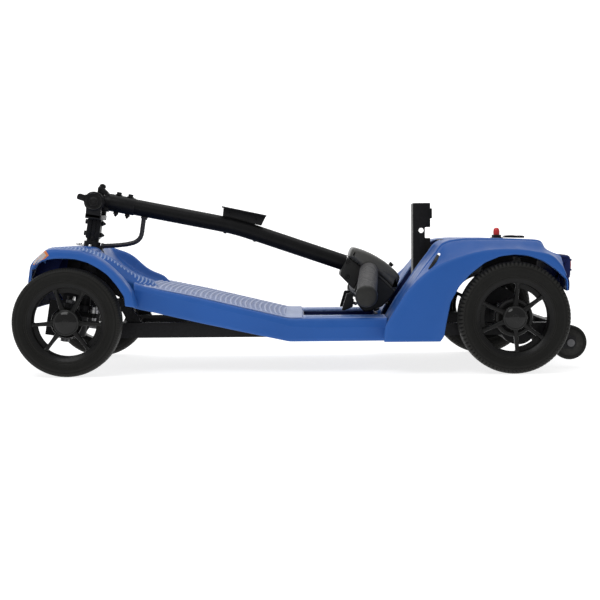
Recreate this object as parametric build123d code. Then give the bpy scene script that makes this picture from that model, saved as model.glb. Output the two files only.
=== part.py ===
from build123d import *
import math
import os

os.makedirs("parts", exist_ok=True)

# Four-wheel electric travel scooter, folded: front is -X, rear is +X, left is -Y, +Z up.
# The origin is on the ground under the middle of the outer box. Millimetres.

# ---------------------------------------------------------------- driving sizes
TRACK = 440.0            # distance between left and right wheel centres
TYRE_W = 50.0            # tyre width
FX, FZ, FR = -424.7, 97.2, 97.2      # front axle and tyre radius
RX, RZ, RR = 371.4, 100.0, 100.0     # rear axle and tyre radius
RIM_R = 61.0             # open radius inside both rims
BEAD_R = 70.0            # tyre bead radius
AX, AZ, AR = 489.9, 46.8, 32.0       # anti-tip wheel centre and radius
ANTI_Y, ANTI_W = 117.0, 25.0
RAKE = 8.79              # steering axis lean from vertical, top to the rear
COL_X = -431.8           # steering axis where it crosses axle height
KING_Y = 175.0           # kingpin distance from the middle
ARM = 45.0               # steering arm length
STEER = 28.0             # steering lock each way
HX, HZ = -400.6, 315.8   # tiller fold pivot
TUBE_R, TUBE_T = 15.5, 2.0
WALL = 3.0               # moulded body wall
HALF_IN, HALF_OUT = 192.0, 237.0     # body side and fender side
POST_X0, POST_X1, POST_Z = 208.6, 241.9, 308.8
PIN_X, PIN_Z, PIN_R = 224.3, 256.2, 4.9
CABLE_R = 4.25
STUB_R, SHAFT_R, COL_R = 7.5, 8.5, 12.0
RUN = 0.05               # radial running clearance

a = math.radians(RAKE)
U = Vector(math.sin(a), 0, math.cos(a))
V = Vector(math.cos(a), 0, -math.sin(a))
C0 = Vector(COL_X, 0, FZ)


# ---------------------------------------------------------------- helpers
def poly(pts, y0, y1):
    wire = Wire.make_polygon([Vector(x, y0, z) for x, z in pts], close=True)
    return extrude(Face(wire), amount=y1 - y0, dir=(0, 1, 0))


def block(x0, x1, y0, y1, z0, z1):
    return Pos((x0 + x1) / 2, (y0 + y1) / 2, (z0 + z1) / 2) * Box(x1 - x0, y1 - y0, z1 - z0)


def rod(p, d, r, h):
    plane = Plane(origin=p, z_dir=d)
    return plane * Cylinder(r, h, align=(Align.CENTER, Align.CENTER, Align.MIN))


def rod_y(x, z, r, y0, y1):
    return rod((x, y0, z), (0, 1, 0), r, y1 - y0)


def turn_y(pts, x, z, y=0.0):
    wire = Wire.make_polygon([Vector(x + r, y + w, z) for r, w in pts], close=True)
    return revolve(Face(wire), axis=Axis((x, y, z), (0, 1, 0)), revolution_arc=360)


def twin(shape):
    return shape + mirror(shape, about=Plane.XZ)


def other(shape):
    return mirror(shape, about=Plane.XZ)


def side_line(pts, t):
    """Offset an open line by t to its right."""
    seg = []
    for (x0, z0), (x1, z1) in zip(pts, pts[1:]):
        n = math.hypot(x1 - x0, z1 - z0)
        seg.append(((z1 - z0) / n, -(x1 - x0) / n))
    out = []
    for i, (x, z) in enumerate(pts):
        if i == 0:
            n = seg[0]
            out.append((x + n[0] * t, z + n[1] * t))
        elif i == len(pts) - 1:
            n = seg[-1]
            out.append((x + n[0] * t, z + n[1] * t))
        else:
            p, q = seg[i - 1], seg[i]
            k = t / (1 + p[0] * q[0] + p[1] * q[1])
            out.append((x + (p[0] + q[0]) * k, z + (p[1] + q[1]) * k))
    return out


def band(pts, t=WALL):
    """A wall of thickness t to the right of an open line."""
    return pts + side_line(pts, t)[::-1]


def inset(pts, t):
    """Shrink a clockwise closed outline by t."""
    ring = side_line([pts[-1]] + pts + [pts[0]], t)
    return ring[1:-1]


def rake(x, y, z):
    """A point in the steering frame: x rearwards, z up the steering axis."""
    return C0 + V * x + Vector(0, y, 0) + U * z


def rake_block(x0, x1, y0, y1, z0, z1):
    plane = Plane(origin=rake((x0 + x1) / 2, (y0 + y1) / 2, (z0 + z1) / 2), x_dir=V, z_dir=U)
    return plane * Box(x1 - x0, y1 - y0, z1 - z0)


def rake_rod(x, y, r, z0, z1):
    return rod(rake(x, y, z0), U, r, z1 - z0)


def save(name, shape):
    export_step(shape, f"parts/{name}.step")


# ---------------------------------------------------------------- main frame
main_frame = twin(block(-345, -30, 88, 112, 60, 88))
main_frame += block(-345, -320, -88, 88, 60, 88)
main_frame += block(-190, -170, -88, 88, 62, 86)
main_frame += block(-30, -6, -184, 184, 62, 88)
main_frame += twin(block(-6, 448, 160, 184, 66, 88))
main_frame += block(198, 252, -160, 160, 66, 88)
main_frame += block(448, 460, -184, 184, 70, 88)
# bracket struts and a light stringer above the front rails
main_frame += twin(poly([(-352, 130), (-344, 137), (-311, 99), (-306, 88), (-330, 88)], 94, 106))
main_frame += twin(block(-318, -190, 96, 104, 96, 102) + block(-196, -190, 96, 104, 88, 96))
save("main_frame", main_frame)

# steering head: tube, front web and rear gusset
head = rake_rod(0, 0, 20, 34, 122)
head += rake_block(-40, -14, -12, 12, 14.0, 112)
head += poly([(-408, 150), (-402, 190), (-386, 190), (-330, 110), (-330, 88), (-345, 88), (-352, 128), (-380, 145)], -12, 12)
head -= rake_rod(0, 0, 17, 0, 140)
head -= rake_rod(0, 0, 34, 0, 34)
save("steering_head", head)
save("head_bearings", Part() + [rake_rod(0, 0, 17, z, z + 12) - rake_rod(0, 0, COL_R + 0.03, z - 1, z + 13) for z in (34, 110)])

# front axle beam with a yoke at each end
yoke = rake_block(-40, 14, 150, 157, -32.4, 32.4)
for z in (22.4, -32.4):
    yoke += rake_block(-12, 12, 150, 175, z, z + 10) + rake_rod(0, 175, 12, z, z + 10)
yoke -= rake_rod(0, 175, 5, -40, 40)
beam = rake_block(-40, -18, -157, 157, -14, 14) + twin(yoke)
save("front_axle_beam", beam)
kingpin = rake_rod(0, 175, 5, -32.4, 32.4) + rake_rod(0, 175, 8, 32.4, 38) + rake_rod(0, 175, 8, -38, -32.4)
bolt_set = twin(kingpin)

# ---------------------------------------------------------------- knuckles and linkage
knuckle = rake_rod(0, 175, 11, -22, 22)
knuckle += rod_y(FX, FZ, STUB_R, 175, 237)
knuckle += rod_y(FX, FZ, 11, 175, 191)
arm = rake_block(0, ARM, 167, 183, 12, 20) + rake_rod(ARM, 175, 9, 12, 20)
knuckle += arm
knuckle -= rake_rod(0, 175, 5 + RUN, -40, 40)
knuckle -= rake_rod(ARM, 175, 4 + RUN, 0, 40)
save("knuckle_right", knuckle)
save("knuckle_left", other(knuckle))

tie = rake_block(ARM - 8, ARM + 8, -175, 175, 20.5, 26.5)
tie += rake_rod(ARM, 175, 9, 20.5, 26.5) + rake_rod(ARM, -175, 9, 20.5, 26.5)
for y in (-175, 0, 175):
    tie += rake_rod(ARM, y, 4, 8, 20.5) + rake_rod(ARM, y, 6.5, 26.5, 31) + rake_rod(ARM, y, 6.5, 7, 11.6)
save("tie_rod", tie)

# ---------------------------------------------------------------- steering column
column = rake_rod(0, 0, COL_R, 6, 150)
column += rake_rod(0, 0, 15, 12, 20)
column += rake_block(0, ARM, -8, 8, 12, 20) + rake_rod(ARM, 0, 9, 12, 20)
column -= rake_rod(ARM, 0, 4 + RUN, 0, 40)

# stem above the body: collar, clamp block and hinge cheeks
stem = rake_block(-13, 13, -14, 14, 150, 190)
stem += rake_block(-15, 15, -42, 42, 187.5, 197)
cheek = rod_y(HX, HZ, 19, 30, 42) + poly([(-417, 289), (-388, 284), (-382, 316), (-419, 316)], 30, 42)
stem += twin(cheek)
stem += twin(poly([(-419, 316), (-419, 326), (-432, 331), (-433, 318)], 30, 38))
stem -= rod_y(HX, HZ, 19.2, -30, 30)
for z in (158.5, 181):
    stem -= rod(rake(-30, 0, z), V, 3.0, 60)
stem -= rod_y(HX, HZ, 6, -60, 60)
save("steering_stem", stem)
collar = rake_rod(0, 0, 16, 124.5, 144) - rake_rod(0, 0, COL_R, 120, 150)
collar += rake_block(14, 21.5, -8, 8, 124.5, 138)
collar -= rake_rod(0, 0, COL_R, 120, 150)
bolts = Part()
for z in (158.5, 181):
    bolts += rod(rake(-13, 0, z), V, 3.0, 26)
    bolts += rod(rake(-19, 0, z), V, 5.5, 6) + rod(rake(13, 0, z), V, 5.5, 8)
pin = rod_y(HX, HZ, 6, -42, 42) + rod_y(HX, HZ, 17, 42, 45) + rod_y(HX, HZ, 17, -45, -42)
save("hinge_pin_and_bolts", bolts + pin)

# ---------------------------------------------------------------- tiller
T0, T1, T2 = (-384.0, 316.7), (-132.0, 266.4), (78.0, 194.4)
line = FilletPolyline(*[(x, 0, z) for x, z in (T0, T1, T2)], radius=320)
start = Plane(origin=line @ 0, z_dir=line % 0)
tube = sweep(start * Circle(TUBE_R), path=line) - sweep(start * Circle(TUBE_R - TUBE_T), path=line)
TD = Vector(T1[0] - T0[0], 0, T1[1] - T0[1]).normalized()
TN = Vector(TD.Z * -1, 0, TD.X)
PB = [Vector(T0[0], 0, T0[1]) + TD * k for k in (24.0, 46.5)]
for p in PB:
    tube -= rod(p - TN * 30, TN, 3.0, 60)
CABLE = [(-309.2, 290.5), (-314.2, 254.0), (-329.5, 236.0), (-360.0, 228.9), (-390.6, 226.2)]
hole_dir = Vector(CABLE[1][0] - CABLE[0][0], 0, CABLE[1][1] - CABLE[0][1]).normalized()
tube -= rod(Vector(CABLE[0][0], 0, CABLE[0][1]) - hole_dir * 0.5, hole_dir, CABLE_R + 0.5, 14)
save("tiller_tube", tube)

barrel = rod_y(HX, HZ, 18.5, -29.5, 29.5)
barrel += rod(Vector(HX, 0, HZ) + Vector(0, 0, 2.6), TD, TUBE_R - TUBE_T, 62) + rod(Vector(HX, 0, HZ) + Vector(0, 0, 2.6), TD, TUBE_R, 16.0)
# trim the neck so that it ends against the tube
barrel -= rod_y(HX, HZ, 6 + RUN, -60, 60)
for p in PB:
    barrel -= rod(p - TN * 30, TN, 3.0, 60)
barrel = barrel - tube
# ears for the lock lever
LX, LZ = -391.5, 339.5
barrel += twin(poly([(-400, 330), (-400, 340), (-396, 343.5), (-388, 343.5), (-384.5, 340), (-384.5, 330)], 6, 10))
barrel -= rod_y(LX, LZ, 2.5, -20, 20)
save("tiller_hinge_block", barrel)
tb = Part()
for p in PB:
    tb += rod(p - TN * TUBE_R, TN, 3.0, 2 * TUBE_R)
    tb += rod(p + TN * TUBE_R, TN, 5.5, 5.5) + rod(p - TN * (TUBE_R + 5), TN, 5.5, 5.0)
tb -= tube
lever = rod_y(LX, LZ, 3.9, -5.5, 5.5) + poly([(-395.3, 339.5), (-395.5, 345), (-392, 350.5), (-387, 351), (-383, 347.5), (-382.5, 343), (-387.6, 339.5)], -5.5, 5.5)
lever -= rod_y(LX, LZ, 2.0 + RUN, -20, 20)
save("fold_lock_lever", lever)
lpin = (rod_y(LX, LZ, 2.0, -10, 10) + rod_y(LX, LZ, 2.5, -10, -6) + rod_y(LX, LZ, 2.5, 6, 10))

# accessory bracket on the tube
BA, BB = Vector(-157.6, 0, 287.3), Vector(-80, 0, 269.8)
bracket = poly([(-157.5, 285.2), (-155.8, 303.6), (-73.8, 285.8), (-82.8, 267.6), (-112, 274)], -2, 2)
bracket += poly([(-158.5, 303.0), (-158, 306.2), (-72.5, 287.6), (-73.5, 284.2)], -16, 16)
bracket -= tube
bracket -= sweep(start * Circle(TUBE_R), path=line)
save("accessory_bracket", bracket)
bd = Part()
for x, z in ((-153, 255.5), (-96, 239.0)):
    bd += rod((x, 0, z), (-0.2, 0, -0.98), 5.5, 6) 
bd -= sweep(start * Circle(TUBE_R), path=line)

# ---------------------------------------------------------------- tiller head
DOME = [(84, 206), (92.3, 225.3), (110.6, 220.6), (137.8, 207.8), (163, 190), (181.6, 170.4), (180, 160), (172, 141), (160, 153), (131, 178), (113, 184)]
dome = poly(DOME, -58, 58) - poly(inset(DOME, WALL), -55, 55)
BRK = [(84, 206), (113, 184), (93.5, 144.6), (67.2, 171.8), (70, 182)]
clamp = poly(BRK, -45, 45) - poly(inset(BRK, 4), -41, 41)
clamp += rod(Vector(T2[0], 0, T2[1]) - Vector(0.946, 0, -0.324) * 17, (0.946, 0, -0.324), 19.5, 22)
clamp = clamp & poly(BRK, -45, 45)
clamp -= sweep(start * Circle(TUBE_R), path=line)
for x, z in ((82.4, 197.4), (82.2, 168.6)):
    clamp -= twin(rod_y(x, z, 4.6, 42.5, 46))
save("head_clamp", clamp)
DASH = [(113, 184), (131, 178), (160, 153), (172, 141), (164.5, 129.5), (146.8, 112.1), (127.2, 104), (113, 101.8), (103, 112), (100, 130), (93.5, 144.6)]
dash = poly(DASH, -56, 56) - poly(inset(DASH, WALL), -53, 53)
DN = Vector(0.382, 0, -0.924)
KN = Vector(0.70, 0, -0.714)
DIAL = Vector(137.0, 24, 108.05)
HORN = Vector(137.0, -24, 108.05)
KEY = Vector(156, -14, 121.1)
dash -= rod(DIAL - DN * 6, DN, 3.0, 20)
dash -= rod(HORN - DN * 6, DN, 6.3, 20)
dash -= rod(KEY - KN * 6, KN, 3.5, 20)
save("head_dash", dash)
hook = rod(Vector(168.9, 0, 191.9) - Vector(0.71, 0, 0.70) * 5, (0.71, 0, 0.70), 4.6, 9)
hook -= poly(DOME, -58, 58)
save("head_cover", dome + hook)
save("tiller_fasteners", tb + bd + twin(Part() + [rod_y(x, z, 4.3, 42.5, 44.2) for x, z in ((82.4, 197.4), (82.2, 168.6))]))
GA, GB = Vector(121.6, -66, 178.5), Vector(116.7, -196, 138.2)
GD = (GB - GA).normalized()
grip = rod(GA - GD * 7.4, GD, 18, (GB - GA).length + 7.4)
grip -= block(60, 200, -58.2, 58.2, 90, 240)
cap = rod(GB, GD, 20.5, 10) + rod(GB + GD * 10, GD, 17, 2.5)
save("hand_grips", twin(grip + cap))

# wig-wag throttle: one bar with a finger paddle at each side, on a pivot
TP = Vector(88, 0, 119)
TA = Vector(0.946, 0, -0.324)
paddle = poly([(69.6, 106.4), (74.6, 106.0), (91, 113), (91.5, 138), (79, 138.5)], 60, 70) - poly([(77, 110.5), (84, 115), (85, 131), (82.5, 131.5)], 59, 71)
throttle = block(83, 90, -62, 62, 113, 125) + twin(paddle)
throttle += rod(TP - TA * 6, TA, 7, 12)
throttle -= rod(TP - TA * 20, TA, 3 + RUN, 40)
save("throttle_paddles", throttle)
tpin = rod(TP - TA * 9, TA, 3, 23) + rod(TP - TA * 11, TA, 5.5, 3.0)
tpin -= poly(DASH, -56, 56)
save("tiller_pivot_pins", tpin + lpin)
save("speed_dial", rod(DIAL + DN * 0.4, DN, 7, 3.8) + rod(DIAL - DN * 5, DN, 3 - RUN, 6))
save("horn_button", rod(HORN - DN * 2, DN, 6.0, 7.5))
kp = Plane(origin=KEY, z_dir=KN)
key = rod(KEY - KN * 5, KN, 3.5 - RUN, 6.0) + rod(KEY + KN * 0.4, KN, 5.0, 3)
bow = Plane(origin=KEY + KN * 5.3, x_dir=(0, 1, 0), z_dir=(KN.Z, 0, -KN.X)) * Cylinder(5.0, 2.6)
key += rod(KEY + KN * 3, KN, 2.0, 4) + bow
save("key", key)

# ---------------------------------------------------------------- wiring harness (held at both ends)
def radii(pts):
    out = []
    for p, q, r in zip(pts, pts[1:], pts[2:]):
        v1 = Vector(q[0] - p[0], 0, q[1] - p[1])
        v2 = Vector(r[0] - q[0], 0, r[1] - q[1])
        turn = math.radians(v1.get_angle(v2))
        out.append(0.45 * min(v1.length, v2.length) / math.tan(turn / 2))
    return out


cab_r = radii(CABLE)
cab_line = FilletPolyline(*[(x, 0, z) for x, z in CABLE], radius=cab_r)
print("cable radii", [round(r, 1) for r in cab_r], "length", round(cab_line.length, 1))
cable = sweep(Plane(origin=cab_line @ 0, z_dir=cab_line % 0) * Circle(CABLE_R), path=cab_line)
print("cable volume ratio", round(cable.volume / (math.pi * CABLE_R ** 2 * cab_line.length), 4))
save("wiring_harness", cable)
collar -= cable
save("steering_column", column + collar)

# ---------------------------------------------------------------- wheels
def tyre(x, z, r, y):
    w = TYRE_W / 2
    b = BEAD_R
    prof = [(b, -20.5), (b + 4, -23.5), (r - 13, -w), (r - 6, -w + 2.5), (r - 2, -w + 8), (r, -10), (r, 10), (r - 2, w - 8),
            (r - 6, w - 2.5), (r - 13, w), (b + 4, 23.5), (b, 20.5), (b, 17), (64.5, 17), (64.5, -17), (b, -17)]
    return turn_y(prof, x, z, y)


def rim(x, z, y, base, bore):
    s = -1 if y < 0 else 1
    ring = turn_y([(RIM_R, -20.5), (b1, -20.5), (b1, -17), (64.5, -17), (64.5, 17), (b1, 17), (b1, 20.5), (RIM_R, 20.5)], x, z, y)
    hub = turn_y([(bore, -22), (22, -22), (22, 12), (20, 16), (bore, 16)], x, z, y) if s > 0 else turn_y([(bore, -16), (20, -16), (22, -12), (22, 22), (bore, 22)], x, z, y)
    out = ring + hub
    for c in base:
        for d in (-24, 24):
            th = math.radians(c + d)
            mid = 41.5
            web = Box(42, 22, 6)
            loc = Location((x + mid * math.cos(th), y, z + mid * math.sin(th)), (0, -(c + d), 0))
            out += loc * web
    out -= rod_y(x, z, bore, y - 40, y + 40)
    return out


b1 = BEAD_R
front_base, rear_base = (85, 208, 332), (60, 178.5, 299.5)
for side, s in (("left", -1), ("right", 1)):
    y = s * TRACK / 2
    save(f"front_tyre_{side}", tyre(FX, FZ, FR, y))
    save(f"front_rim_{side}", rim(FX, FZ, y, front_base, STUB_R + RUN))
    hc = [(0, 17.2), (19, 17.2), (23.5, 16.6), (23.5, 19), (20, 22), (13, 24), (0, 24.8)]
    save(f"front_hub_cap_{side}", turn_y([(r, s * w) for r, w in hc], FX, FZ, y))
    save(f"rear_tyre_{side}", tyre(RX, RZ, RR, y))
    rr = rim(RX, RZ, y, rear_base, SHAFT_R) + (turn_y([(22, -8), (34, -8), (34, 2), (22, 2)], RX, RZ, y) if s > 0 else turn_y([(22, -2), (34, -2), (34, 8), (22, 8)], RX, RZ, y))
    save(f"rear_rim_{side}", rr)
    hc = [(0, 17.2), (18, 17.2), (22, 16.6), (22, 19), (19, 22), (12, 24), (0, 24.8)]
    save(f"rear_hub_cap_{side}", turn_y([(r, s * w) for r, w in hc], RX, RZ, y))
    shaft = rod_y(RX, RZ, SHAFT_R, 3, 236)
    save(f"rear_axle_shaft_{side}", shaft if s > 0 else other(shaft))
    ya = s * ANTI_Y
    at = turn_y([(4 + RUN, -ANTI_W / 2), (AR - 2.5, -ANTI_W / 2), (AR, -ANTI_W / 2 + 3), (AR, ANTI_W / 2 - 3), (AR - 2.5, ANTI_W / 2), (4 + RUN, ANTI_W / 2)], AX, AZ, ya)
    save(f"anti_tip_wheel_{side}", at)

# ---------------------------------------------------------------- rear axle, motor, anti-tip arms
gear = rod_y(RX, RZ, 46, -20, 20) + rod_y(411.4, 70, 35, -20, 20)
gear -= rod_y(RX, RZ, 42, -16, 16)
gear -= rod_y(RX, RZ, SHAFT_R + 0.1, -30, 30)
save("gearbox_housing", gear)
save("drive_motor", rod_y(411.4, 70, 33, 20, 118) + rod_y(411.4, 70, 24, 118, 124))
housing = rod_y(RX, RZ, 15, 20, 160) + block(RX - 21, RX + 21, 160, 184, 88, 123) - rod_y(RX, RZ, 11, 10, 160) - rod_y(RX, RZ, SHAFT_R + RUN, 100, 200)
save("axle_housings", twin(housing))
armp = [(460, 88), (460, 70), (478, 36), (494, 35), (501, 44), (499, 58), (486, 62)]
arms = Part() + [poly(armp, y0, y0 + 4) for y0 in (ANTI_Y - 18.5, ANTI_Y + 14.5)]
arms -= rod_y(AX, AZ, 4, 0, 200)
save("anti_tip_arms", twin(arms))
save("chassis_bolts", bolt_set + twin(rod_y(AX, AZ, 4, ANTI_Y - 18.5, ANTI_Y + 18.5) + rod_y(AX, AZ, 7, ANTI_Y + 18.5, ANTI_Y + 22.5) + rod_y(AX, AZ, 7, ANTI_Y - 22.5, ANTI_Y - 18.5)))

# ---------------------------------------------------------------- seat post
post = block(POST_X0, POST_X1, -24, 24, 88, POST_Z) - block(POST_X0 + 3, POST_X1 - 3, -21, 21, 91, POST_Z + 5)
post += block(POST_X1, POST_X1 + 3.4, -24, 24, 279.3, 298.2)
post += twin(poly([(POST_X1, 88), (POST_X1, 228), (247, 222), (252, 205), (252, 88)], 21, 24))
post -= rod_y(PIN_X, PIN_Z, PIN_R, -60, 60)
post -= block(231.5, 260, -60, 60, 241.4, 262.4)
save("seat_post", post)
save("battery_pack", block(331, 388, -105, 105, 165, 211))
save("controller_box", block(410, 440, -60, 60, 150, 204))

# ---------------------------------------------------------------- body mouldings
NOSE = [(-498, 118), (-508, 135), (-511.5, 150), (-511, 163), (-505, 181), (-498, 199), (-489, 211), (-478, 220), (-470, 227), (-462, 230.5), (-440, 231.5), (-414, 231), (-395, 228)]
RIDGE = NOSE + [(-380, 222), (-364, 217), (-350, 209.5), (-343, 204), (-331, 193.7), (-321, 186), (-309, 179), (-300, 174.5), (-292, 171)]
SCOOP = NOSE + [(-390, 220), (-377, 203), (-360, 189), (-340, 176), (-318, 166), (-292, 158.5)]
FEND = [(-492, 190), (-486.5, 199.5), (-479, 210), (-469, 217), (-461, 226.5), (-446, 228.6), (-424, 227.4), (-400, 225), (-389.5, 221.6), (-373.7, 216), (-358, 205.5), (-342, 192), (-326, 175), (-308, 151), (-301, 123)]
ARCH = [(-320, 126), (-321, 141.7), (-334.4, 162.4), (-350, 181), (-366, 192.8), (-385.7, 203.4), (-405.6, 209.4), (-424, 211), (-442.5, 211), (-454.9, 209.8), (-467.6, 206.2), (-476.9, 200.7), (-482, 192)]

fairing = poly(band(SCOOP), -150, 150)
fairing += twin(poly(band(RIDGE), 150, HALF_IN))
wall = RIDGE[len(NOSE) - 1:] + SCOOP[len(NOSE) - 1:][::-1]
wall2 = RIDGE[len(NOSE) - 1:] + side_line(SCOOP, WALL)[len(NOSE) - 1:][::-1]
fairing += twin(poly(wall2, 150, 153))
fairing += twin(poly(band(FEND), HALF_IN, HALF_OUT))
fairing += twin(poly(FEND + ARCH, HALF_OUT - WALL, HALF_OUT))
skirt_f = [(-326, 190), (-309, 179), (-300, 174.5), (-292, 171), (-292, 115), (-306, 118), (-320, 121), (-324, 140), (-330, 165)]
fairing += twin(poly(skirt_f, HALF_IN - WALL, HALF_IN))
fairing += twin(poly([(-301, 118), (-306, 118), (-322, 121.5), (-320, 126), (-301, 123)], HALF_IN - WALL, HALF_OUT))
# nose side walls inboard of the wheels
fairing += twin(poly([(-498, 118), (-508, 135), (-511.5, 150), (-511, 163), (-505, 181), (-498, 199), (-489, 211), (-470, 211), (-480, 180), (-487, 140)], 137, 140))
# the nose narrows in plan so that the wheels can steer
plan = Wire.make_polygon([Vector(-514, -100, 0), Vector(-512, -140, 0), Vector(-508, -160, 0), Vector(-502, -182, 0), Vector(-492, -212, 0), Vector(-478, -232, 0), Vector(-468, -240, 0), Vector(-280, -240, 0),
                          Vector(-280, 240, 0), Vector(-468, 240, 0), Vector(-478, 232, 0), Vector(-492, 212, 0), Vector(-502, 182, 0), Vector(-508, 160, 0), Vector(-512, 140, 0), Vector(-514, 100, 0)], close=True)
fairing = fairing & extrude(Face(plan), amount=300, dir=(0, 0, 1))
fairing -= rake_rod(0, 0, 24, 110, 150)
# room for the steered wheels
for k in range(-4, 5):
    ang = STEER * k / 4
    wheel = rod_y(FX, FZ, FR + 4.5, 191, 250)
    wheel = wheel.rotate(Axis(tuple(rake(0, 175, 0)), tuple(U)), ang)
    fairing -= twin(wheel)
fairing -= twin(block(-520, -400, 140, 215, 90, 178))
save("front_fairing", fairing)
bezel = rod((-411.3, 0, 231.6), (0, 0, 1), 31, 3) - rod((-411.3, 0, 230), (0, 0, 1), 25.5, 8)
bezel -= block(-394, -360, -40, 40, 220, 240)
bezel -= fairing
save("column_bezel", bezel)
lampp = [(-497.8, 202), (-489.2, 213), (-478.5, 221.8), (-473, 226), (-474.6, 229), (-480, 224.6), (-491, 215.2), (-500, 203.2)]
lamps = poly(side_line([(-498, 199), (-489, 211), (-478, 220), (-471, 226.2)], -3.2) + [(-471, 226.2), (-478, 220), (-489, 211), (-498, 199)], 96, 150)
save("front_lamps", twin(lamps) - fairing)

TOP = [(-292, 158.5), (-252, 150.5), (-194, 138.5), (-34, 100.2), (-28, 99.4), (160, 99.4)]
BOT = [(160, 57), (-29.4, 56.7), (-72.5, 65.9), (-181.7, 89.6), (-250.2, 105.5), (-283, 113.3), (-292, 115)]
board = poly(band(TOP), -HALF_IN + WALL, HALF_IN - WALL)
board += twin(poly(TOP + BOT, HALF_IN - WALL, HALF_IN + 3))
board -= block(-2, 200, -100, 100, 80, 120)
board += twin(block(-2, 150, 100, 103, 72, 101)) + block(-5, -2, -103, 103, 72, 101) + block(-5, 150, -103, 103, 69, 72)
board += twin(block(-5, 140, 103, 150, 98, 100.2))
board -= twin(block(-345, -30, 86, 114, 50, 88.01))
board -= twin(block(-330, -185, 94, 106, 88, 104))
board -= block(138, 200, -300, 300, 40, 140)
board += block(-5, 138, -100, 100, 69, 72)
save("footboard_shell", board)
mat_top = [(-291.5, 161.5), (-252, 153.5), (-194, 141.5), (-34, 103.2), (-28, 102.4), (-6, 102.4)]
mat = poly(mat_top + [(-6, 99.4), (-28, 99.4), (-34, 100.2), (-194, 138.5), (-252, 150.5), (-291.5, 158.4)], -186, 186)
mat -= board
save("floor_mat", mat)

# rear shroud
WING = [(146, 60), (146.5, 79), (154, 98), (172.6, 129.3), (197.7, 165.5), (217.3, 194), (235.7, 217.3), (243.6, 230), (250, 235), (263, 239), (290, 241.8)]
DECK = [(290, 241.8), (360, 241), (420, 238.5), (428, 236), (434, 222), (449, 214), (462, 210.5)]
FENR = [(139, 58.7), (139.4, 85.4), (160, 118), (181, 151), (200, 170), (220, 187), (249, 202), (274, 210.7), (311, 220.3), (347, 223.5), (382.5, 222.4), (418, 216.8), (439, 212), (464, 181), (466, 146)]
ARCHR = [(463, 150), (462.6, 167), (445, 184.5), (420.4, 201), (395.4, 210), (370.5, 212.2), (345.6, 209.1), (318, 198), (292.8, 178.2), (272.7, 156), (257.6, 128.6), (249.6, 91), (245.7, 67.5), (239, 58.7)]
side = [(149, 80), (156, 97), (174, 128.5), (199, 164.5), (218.5, 193), (237, 216.2), (245, 229), (251, 233.6), (263.2, 237.4), (290, 240.2), (359, 239.4), (419, 237),
        (426.6, 234.6), (433, 220.4), (448.5, 212.6), (456, 204), (439, 207), (418, 211), (382.5, 217), (347, 218), (311, 215), (274, 205), (249, 196), (224, 182), (207, 166), (192, 144), (178, 118), (167, 96), (160, 77)]
shroud = poly(band(WING + DECK[1:]), -HALF_IN, HALF_IN) - poly([(100, 20), (100, 300), (262, 300), (262, 20)], -60, 60)
shroud += twin(poly(side, HALF_IN - 2 * WALL, HALF_IN - 0.5))
shroud += twin(poly([(156, 90.5), (156, 97), (174, 128.5), (199, 164.5), (218.5, 193), (237, 216.2), (245, 229), (251, 233.6), (264, 237), (264, 90.5)], 56, 61))
shroud += block(262, 266, -58, 58, 90.5, 238)
shroud += block(152, 264, -58, 58, 89.2, 92.2)
fender = poly(band(FENR), HALF_IN - 4, HALF_OUT) + poly(FENR + ARCHR, HALF_OUT - WALL, HALF_OUT)
shroud += twin(fender)
shroud -= block(POST_X0 - 1, 253, -25, 25, 80, 100)
shroud -= block(130, 270, -150, 150, 40, 88.5)
shroud -= twin(block(130, 470, 158, 186, 40, 88.5))
shroud -= block(130, 140, -250, 250, 40, 140)
save("rear_shroud", shroud)
bump = [(455, 210.6), (470, 209), (489, 205), (489, 178), (474, 163), (462, 163), (462, 181), (455, 190)]
bumper = poly(bump, -150, 150) - poly(inset(bump[::1], 3), -147, 147)
bumper -= shroud
bumper += Part() + [block(488, 493, -95, 95, z, z + 3.5) for z in (199, 189, 179)]
save("rear_bumper", bumper)
save("rear_lamps", twin(block(489, 492, 105, 145, 182, 200)))
slot = [(220, 187), (225, 187), (243, 211), (238.5, 212.5)]
vent = twin(poly(slot, HALF_IN, HALF_IN + 2))
base = block(353.5, 374, -73, -47, 240.6, 242.0) + block(355, 372, -73, -67.5, 242, 247) + block(355, 372, -52.5, -47, 242, 247)
save("deck_trim", (vent + base) - shroud)
lever = rod_y(363.5, 248.4, 6.1, -66.6, -53.4) + rod((363.5, -60, 248.4), (0, 0, 1), 6.1, 7) + rod((363.5, -60, 255.4), (0, 0, 1), 4.6, 5)
save("freewheel_lever", lever)
save("carry_handle", poly([(378.5, 245.2), (392, 246.2), (412, 244.8), (415, 242.9), (414, 242.3), (378.5, 242.3)], -75, -45) + rod_y(378.5, 243.6, 1.9, -75, -45))
print("done")
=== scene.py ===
import math
import bmesh
import bpy
import numpy as np
from mathutils import Matrix, Vector

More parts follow.
